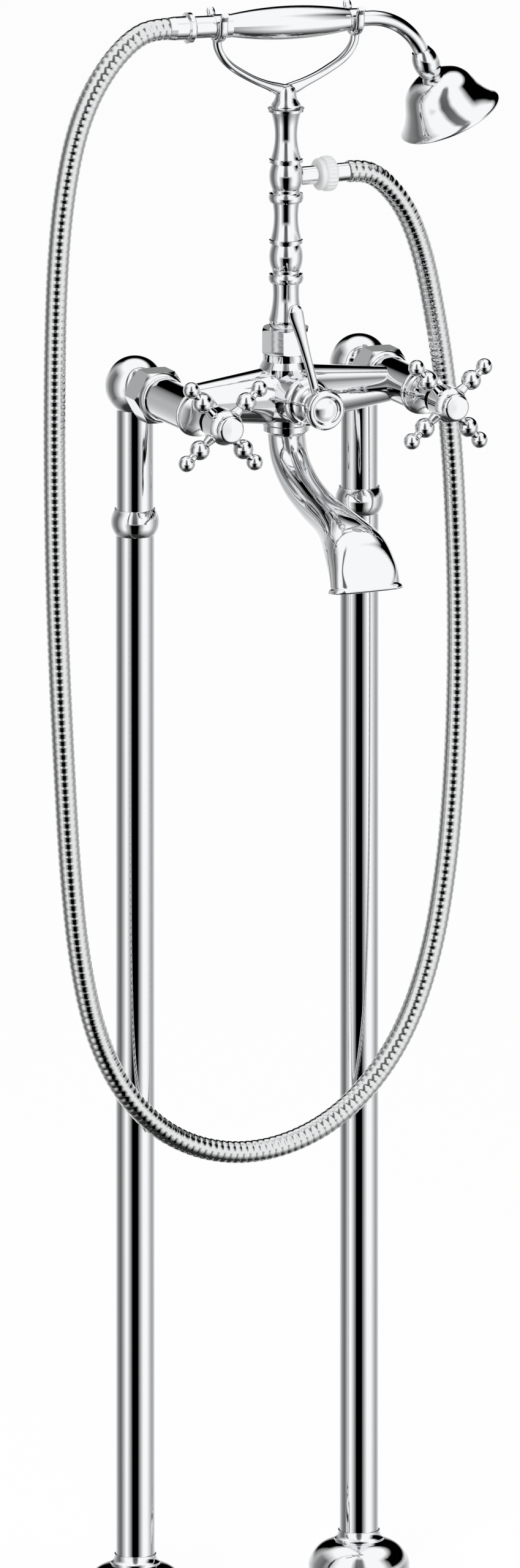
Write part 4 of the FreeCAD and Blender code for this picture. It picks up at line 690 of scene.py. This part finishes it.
class BATHFILLER_OT_spout(bpy.types.Operator):
    """Cast the curved spout with its flat shield-shaped face and rolled lip"""
    bl_idname = "bathfiller.spout"
    bl_label = "Spout"

    def execute(self, context):
        line = through(SPOUT_SECTIONS, steps=SPOUT_STEPS)
        root = self.ring(line[0])[0]
        outer = [self.ring_above(root, height, radius) for height, radius in SPOUT_SPIGOT]
        outer += [self.ring(station) for station in line]
        for ahead, out in SPOUT_LIP:
            frame, wide, deep, squareness = self.ring(line[-1])
            frame.translation += self.heading(line[-1]) * ahead * MM
            outer.append((frame, wide + out, deep + out, squareness))
        inner = [self.ring(station, SPOUT_WALL) for station in reversed(line[:-1])]
        inner.append(self.ring_above(root, SPOUT_SPIGOT[0][0], SPOUT_BORE))
        bm = bmesh.new()
        corners = loft_solid(bm, outer + inner, segments=SPOUT_SIDES, hollow=True)
        outside = SPOUT_SIDES * (len(outer) - 1)
        self.flatten(corners[:outside], 0)
        self.flatten(corners[outside:], SPOUT_FACE_WALL)
        finish_piece("spout_cast", bm, STATIC_BODY, "spout", smooth_angle=60)
        return {"FINISHED"}

    @staticmethod
    def heading(station):
        """The way that the spout runs at a station."""
        angle = math.radians(station[2])
        return Vector((0, -math.cos(angle), -math.sin(angle)))

    @staticmethod
    def ahead_of_riser(forward, up):
        """A place in the middle plane, from mm ahead of the riser and above the valves' axis."""
        return riser_point(0, up * MM) - Vector((0, forward * MM, 0))

    def ring(self, station, thinner=0):
        """The section at a station, or one inside it."""
        forward, up, _, wide, deep, squareness = station
        frame = facing(self.heading(station), across=(1, 0, 0), at=self.ahead_of_riser(forward, up))
        return frame, wide - thinner, deep - thinner, squareness

    @staticmethod
    def ring_above(root, height, radius):
        """A round ring straight above the first section."""
        return Matrix.Translation((0, 0, height * MM)) @ root, radius, radius, ROUND

    def flatten(self, corners, behind):
        """Presses back what bulges over the face, or over a plane some mm behind it, with a soft edge."""
        (top_forward, top_up), (low_forward, low_up) = SPOUT_FACE
        along = Vector((0, top_forward - low_forward, low_up - top_up)).normalized()
        normal = Vector((0, along.z, -along.y))
        foot = self.ahead_of_riser(low_forward, low_up) - normal * behind * MM
        soft = SPOUT_FACE_EDGE * MM
        for corner in corners:
            ahead = (corner.co - foot).dot(normal)
            if ahead > -4 * soft and corner.co.z > foot.z + MM:     # all above the lip
                pressed = 0.5 * (ahead - math.hypot(ahead, soft))
                corner.co += normal * (pressed - ahead)


# ---------------------------------------------------------------- rose

ROSE_START = (0.0899, 0.20375)          # right of the riser and above the valves' axis
ROSE_AXIS = (0.4147, 0, -0.910)         # the way that the water leaves
# The bell from its neck over the rim, and back inside: distance along the rose's axis and radius, in mm.
BELL_OUTSIDE = (
    (17.5, 7.0), (18.2, 11.5), (20.6, 16.6), (24.4, 20.3), (29.0, 22.6), (34.0, 24.5), (39.0, 27.0),
    (42.8, 29.6), (45.0, 31.6), (46.2, 32.4), (47.1, 32.3), (47.5, 31.6), (47.2, 30.6), (45.6, 28.4),
    (44.2, 26.4), (43.4, 25.6))
BELL_INSIDE = (
    (42.6, 25.4), (38.0, 24.2), (32.0, 21.9), (26.0, 18.8), (21.5, 13.6), (19.6, 8.4), (17.6, 5.6))


class BATHFILLER_OT_rose(bpy.types.Operator):
    """Spin the bell of the hand shower's rose"""
    bl_idname = "bathfiller.rose"
    bl_label = "Rose"

    def execute(self, context):
        bm = bmesh.new()
        profile = [tuple(point) for point in through(BELL_OUTSIDE, steps=4)] + list(BELL_INSIDE)
        turn_solid(bm, profile, at=riser_point(*ROSE_START), axis=ROSE_AXIS, segments=96)
        finish_piece("rose_bell_spun", bm, "handset", "rose_bell", smooth_angle=50)
        return {"FINISHED"}


# ---------------------------------------------------------------- diverter

# The knob and the lever's boss, from back to front: distance before the standpipes and radius, in mm.
KNOB = (
    (109.0, 0), (109.0, 10.6), (109.3, 11.6), (110.0, 12.3), (110.6, 12.4), (113.0, 12.4), (113.9, 12.2),
    (114.6, 11.6), (115.0, 10.7), (115.0, 9.4), (114.7, 8.6), (113.9, 8.1), (113.5, 7.6), (113.6, 6.9),
    (114.1, 5.6), (114.5, 3.9), (114.8, 2.0), (114.9, 0))
LEVER_BOSS = (
    (100.35, 0), (100.35, 7.4), (100.7, 8.1), (101.5, 8.4), (103.0, 8.4), (103.6, 7.8), (105.6, 7.8),
    (106.2, 8.4), (107.8, 8.4), (108.5, 8.1), (108.9, 7.4), (108.9, 0))
# The lever's blade: distance from the spindle's axis, half width and half thickness, in mm.
LEVER_BLADE = (
    (4.0, 2.8, 2.2), (12, 2.75, 2.2), (24, 2.7, 2.1), (38, 3.0, 2.0), (50, 3.8, 2.0), (57, 4.6, 2.1),
    (61.5, 4.95, 2.2), (64.5, 4.4, 2.0), (66.6, 2.8, 1.4), (67.4, 0.6, 0.4))
LEVER_SQUARENESS = 2.3
LEVER_LEAN = math.radians(-15)          # from upright, to the left if negative
LEVER_FORWARD = 104.6                   # standpipes' axes to the middle of the blade


class BATHFILLER_OT_diverter(bpy.types.Operator):
    """Model the diverter's lever and the knob before it"""
    bl_idname = "bathfiller.diverter"
    bl_label = "Diverter lever and knob"

    def execute(self, context):
        middle = Vector((0, 0, VALVE_HEIGHT))
        bm = bmesh.new()
        turn_solid(bm, KNOB, at=middle, axis=(0, -1, 0), segments=96)
        finish_piece("diverter_knob_domed", bm, "diverter", "diverter_knob", smooth_angle=50)
        bm = bmesh.new()
        turn_solid(bm, LEVER_BOSS, at=middle, axis=(0, -1, 0), segments=72)
        right, up = math.sin(LEVER_LEAN), math.cos(LEVER_LEAN)
        stations = [
            (reach * right, -LEVER_FORWARD, VALVE_HEIGHT / MM + reach * up, thick, wide, LEVER_SQUARENESS)
            for reach, wide, thick in LEVER_BLADE]
        loft_solid(bm, swept_rings(stations, across=(0, 1, 0), steps=4), segments=32)
        finish_piece("diverter_lever_forged", bm, "diverter", "diverter_lever", smooth_angle=50)
        return {"FINISHED"}


# ---------------------------------------------------------------- cradle

# The turned foot: height above the valves' axis and radius, in mm.
CRADLE_FOOT = (
    (165.5, 0), (165.5, 3.85), (176.05, 3.85), (176.05, 8.7), (176.6, 9.3), (178.2, 9.4), (179.2, 9.0),
    (181.0, 7.6), (183.5, 6.6), (186.5, 6.4), (189.0, 5.6), (190.6, 3.6), (191.0, 0))
# The right arm: distance right of the riser and above the valves' axis, half width and half depth, in mm.
CRADLE_ARM = (
    (1.0, 187.0, 4.0, 3.9), (6.5, 188.7, 3.7, 3.8), (13.0, 191.2, 2.9, 3.7), (21.0, 194.4, 2.6, 3.6),
    (29.0, 198.3, 2.6, 3.6), (36.5, 202.6, 2.6, 3.5), (42.0, 207.6, 2.7, 3.4), (45.3, 213.4, 2.7, 3.2),
    (46.0, 218.6, 2.8, 2.9))
ARM_REACH = 45.5                        # where the left arm has risen to its higher fork
ARM_SQUARENESS = 2.2
# The front half of a fork: distance ahead of the hand shower's axis and above it, half width along it and
# half thickness, in mm.
FORK = (
    (0, -8.95, 2.75, 1.25), (4.4, -7.75, 2.75, 1.25), (7.75, -4.4, 2.75, 1.25), (8.95, 0, 2.75, 1.25),
    (9.0, 4.0, 2.75, 1.25), (9.3, 6.0, 2.75, 1.7), (10.2, 7.8, 2.75, 1.7), (11.3, 8.9, 2.2, 1.7))
FORK_SQUARENESS = 2.6
# The forks' middles, left and right: distance right of the riser and above the valves' axis, in mm.
FORKS = ((-45.46, 230.62), (45.46, 226.98))


class BATHFILLER_OT_cradle(bpy.types.Operator):
    """Cast the cradle: a turned foot, two curved arms and a fork at each end"""
    bl_idname = "bathfiller.cradle"
    bl_label = "Cradle"

    def execute(self, context):
        bm = bmesh.new()
        turn_solid(bm, CRADLE_FOOT, at=riser_point(0, 0), axis=(0, 0, 1), segments=64)
        for right, up in FORKS:
            loft_solid(bm, swept_rings(self.arm(right, up), across=(0, 1, 0), steps=5), segments=32)
            loft_solid(bm, swept_rings(self.fork(right, up), across=(1, 0, 0), steps=5), segments=24)
        finish_piece("cradle_cast", bm, STATIC_BODY, "cradle", smooth_angle=60)
        return {"FINISHED"}

    @staticmethod
    def arm(right, fork_height):
        """Stations along the arm to a fork."""
        side = math.copysign(1, right)
        lift = fork_height - FORKS[1][1]
        base = VALVE_HEIGHT / MM
        return [
            (side * reach, -RISER_FORWARD / MM, base + up + lift * (reach / ARM_REACH) ** 2,
             deep, wide, ARM_SQUARENESS)
            for reach, up, wide, deep in CRADLE_ARM]

    @staticmethod
    def fork(right, fork_height):
        """Stations from the back prong's tip under the hand shower to the front prong's."""
        back = [(-ahead, *rest) for ahead, *rest in reversed(FORK[1:])]
        base = VALVE_HEIGHT / MM + fork_height
        return [
            (right, -RISER_FORWARD / MM - ahead, base + up, wide, thick, FORK_SQUARENESS)
            for ahead, up, wide, thick in (*back, *FORK)]


# ---------------------------------------------------------------- panel and running

GROUPS = (
    BATHFILLER_OT_stage,
    BATHFILLER_OT_finishes,
    BATHFILLER_OT_hose,
    BATHFILLER_OT_spout,
    BATHFILLER_OT_rose,
    BATHFILLER_OT_diverter,
    BATHFILLER_OT_cradle,
)

SETTINGS = (
    ("bathfiller_finish", FinishSettings),
    ("bathfiller_hose", HoseSettings),
    ("bathfiller_stage", StageSettings),
)


class BATHFILLER_PT_panel(bpy.types.Panel):
    """Lists the filler's groups of pieces and their settings."""
    bl_idname = "BATHFILLER_PT_panel"
    bl_label = "Bath Filler"
    bl_space_type = "VIEW_3D"
    bl_region_type = "UI"
    bl_category = "Bath Filler"

    def draw(self, context):
        for group in GROUPS:
            self.layout.operator(group.bl_idname)
        for name, settings in SETTINGS:
            box = self.layout.box()
            for value in settings.__annotations__:
                box.prop(getattr(context.scene, name), value)


def register():
    for name, settings in SETTINGS:
        bpy.utils.register_class(settings)
        setattr(bpy.types.Scene, name, PointerProperty(type=settings))
    for group in (*GROUPS, BATHFILLER_PT_panel):
        bpy.utils.register_class(group)


def unregister():
    for group in reversed((*GROUPS, BATHFILLER_PT_panel)):
        bpy.utils.unregister_class(group)
    for name, settings in reversed(SETTINGS):
        delattr(bpy.types.Scene, name)
        bpy.utils.unregister_class(settings)


def main():
    register()
    bpy.ops.bathfiller.stage()
    bpy.ops.bathfiller.finishes()
    bpy.ops.bathfiller.hose()
    bpy.ops.bathfiller.spout()
    bpy.ops.bathfiller.rose()
    bpy.ops.bathfiller.diverter()
    bpy.ops.bathfiller.cradle()


if __name__ == "__main__":
    main()
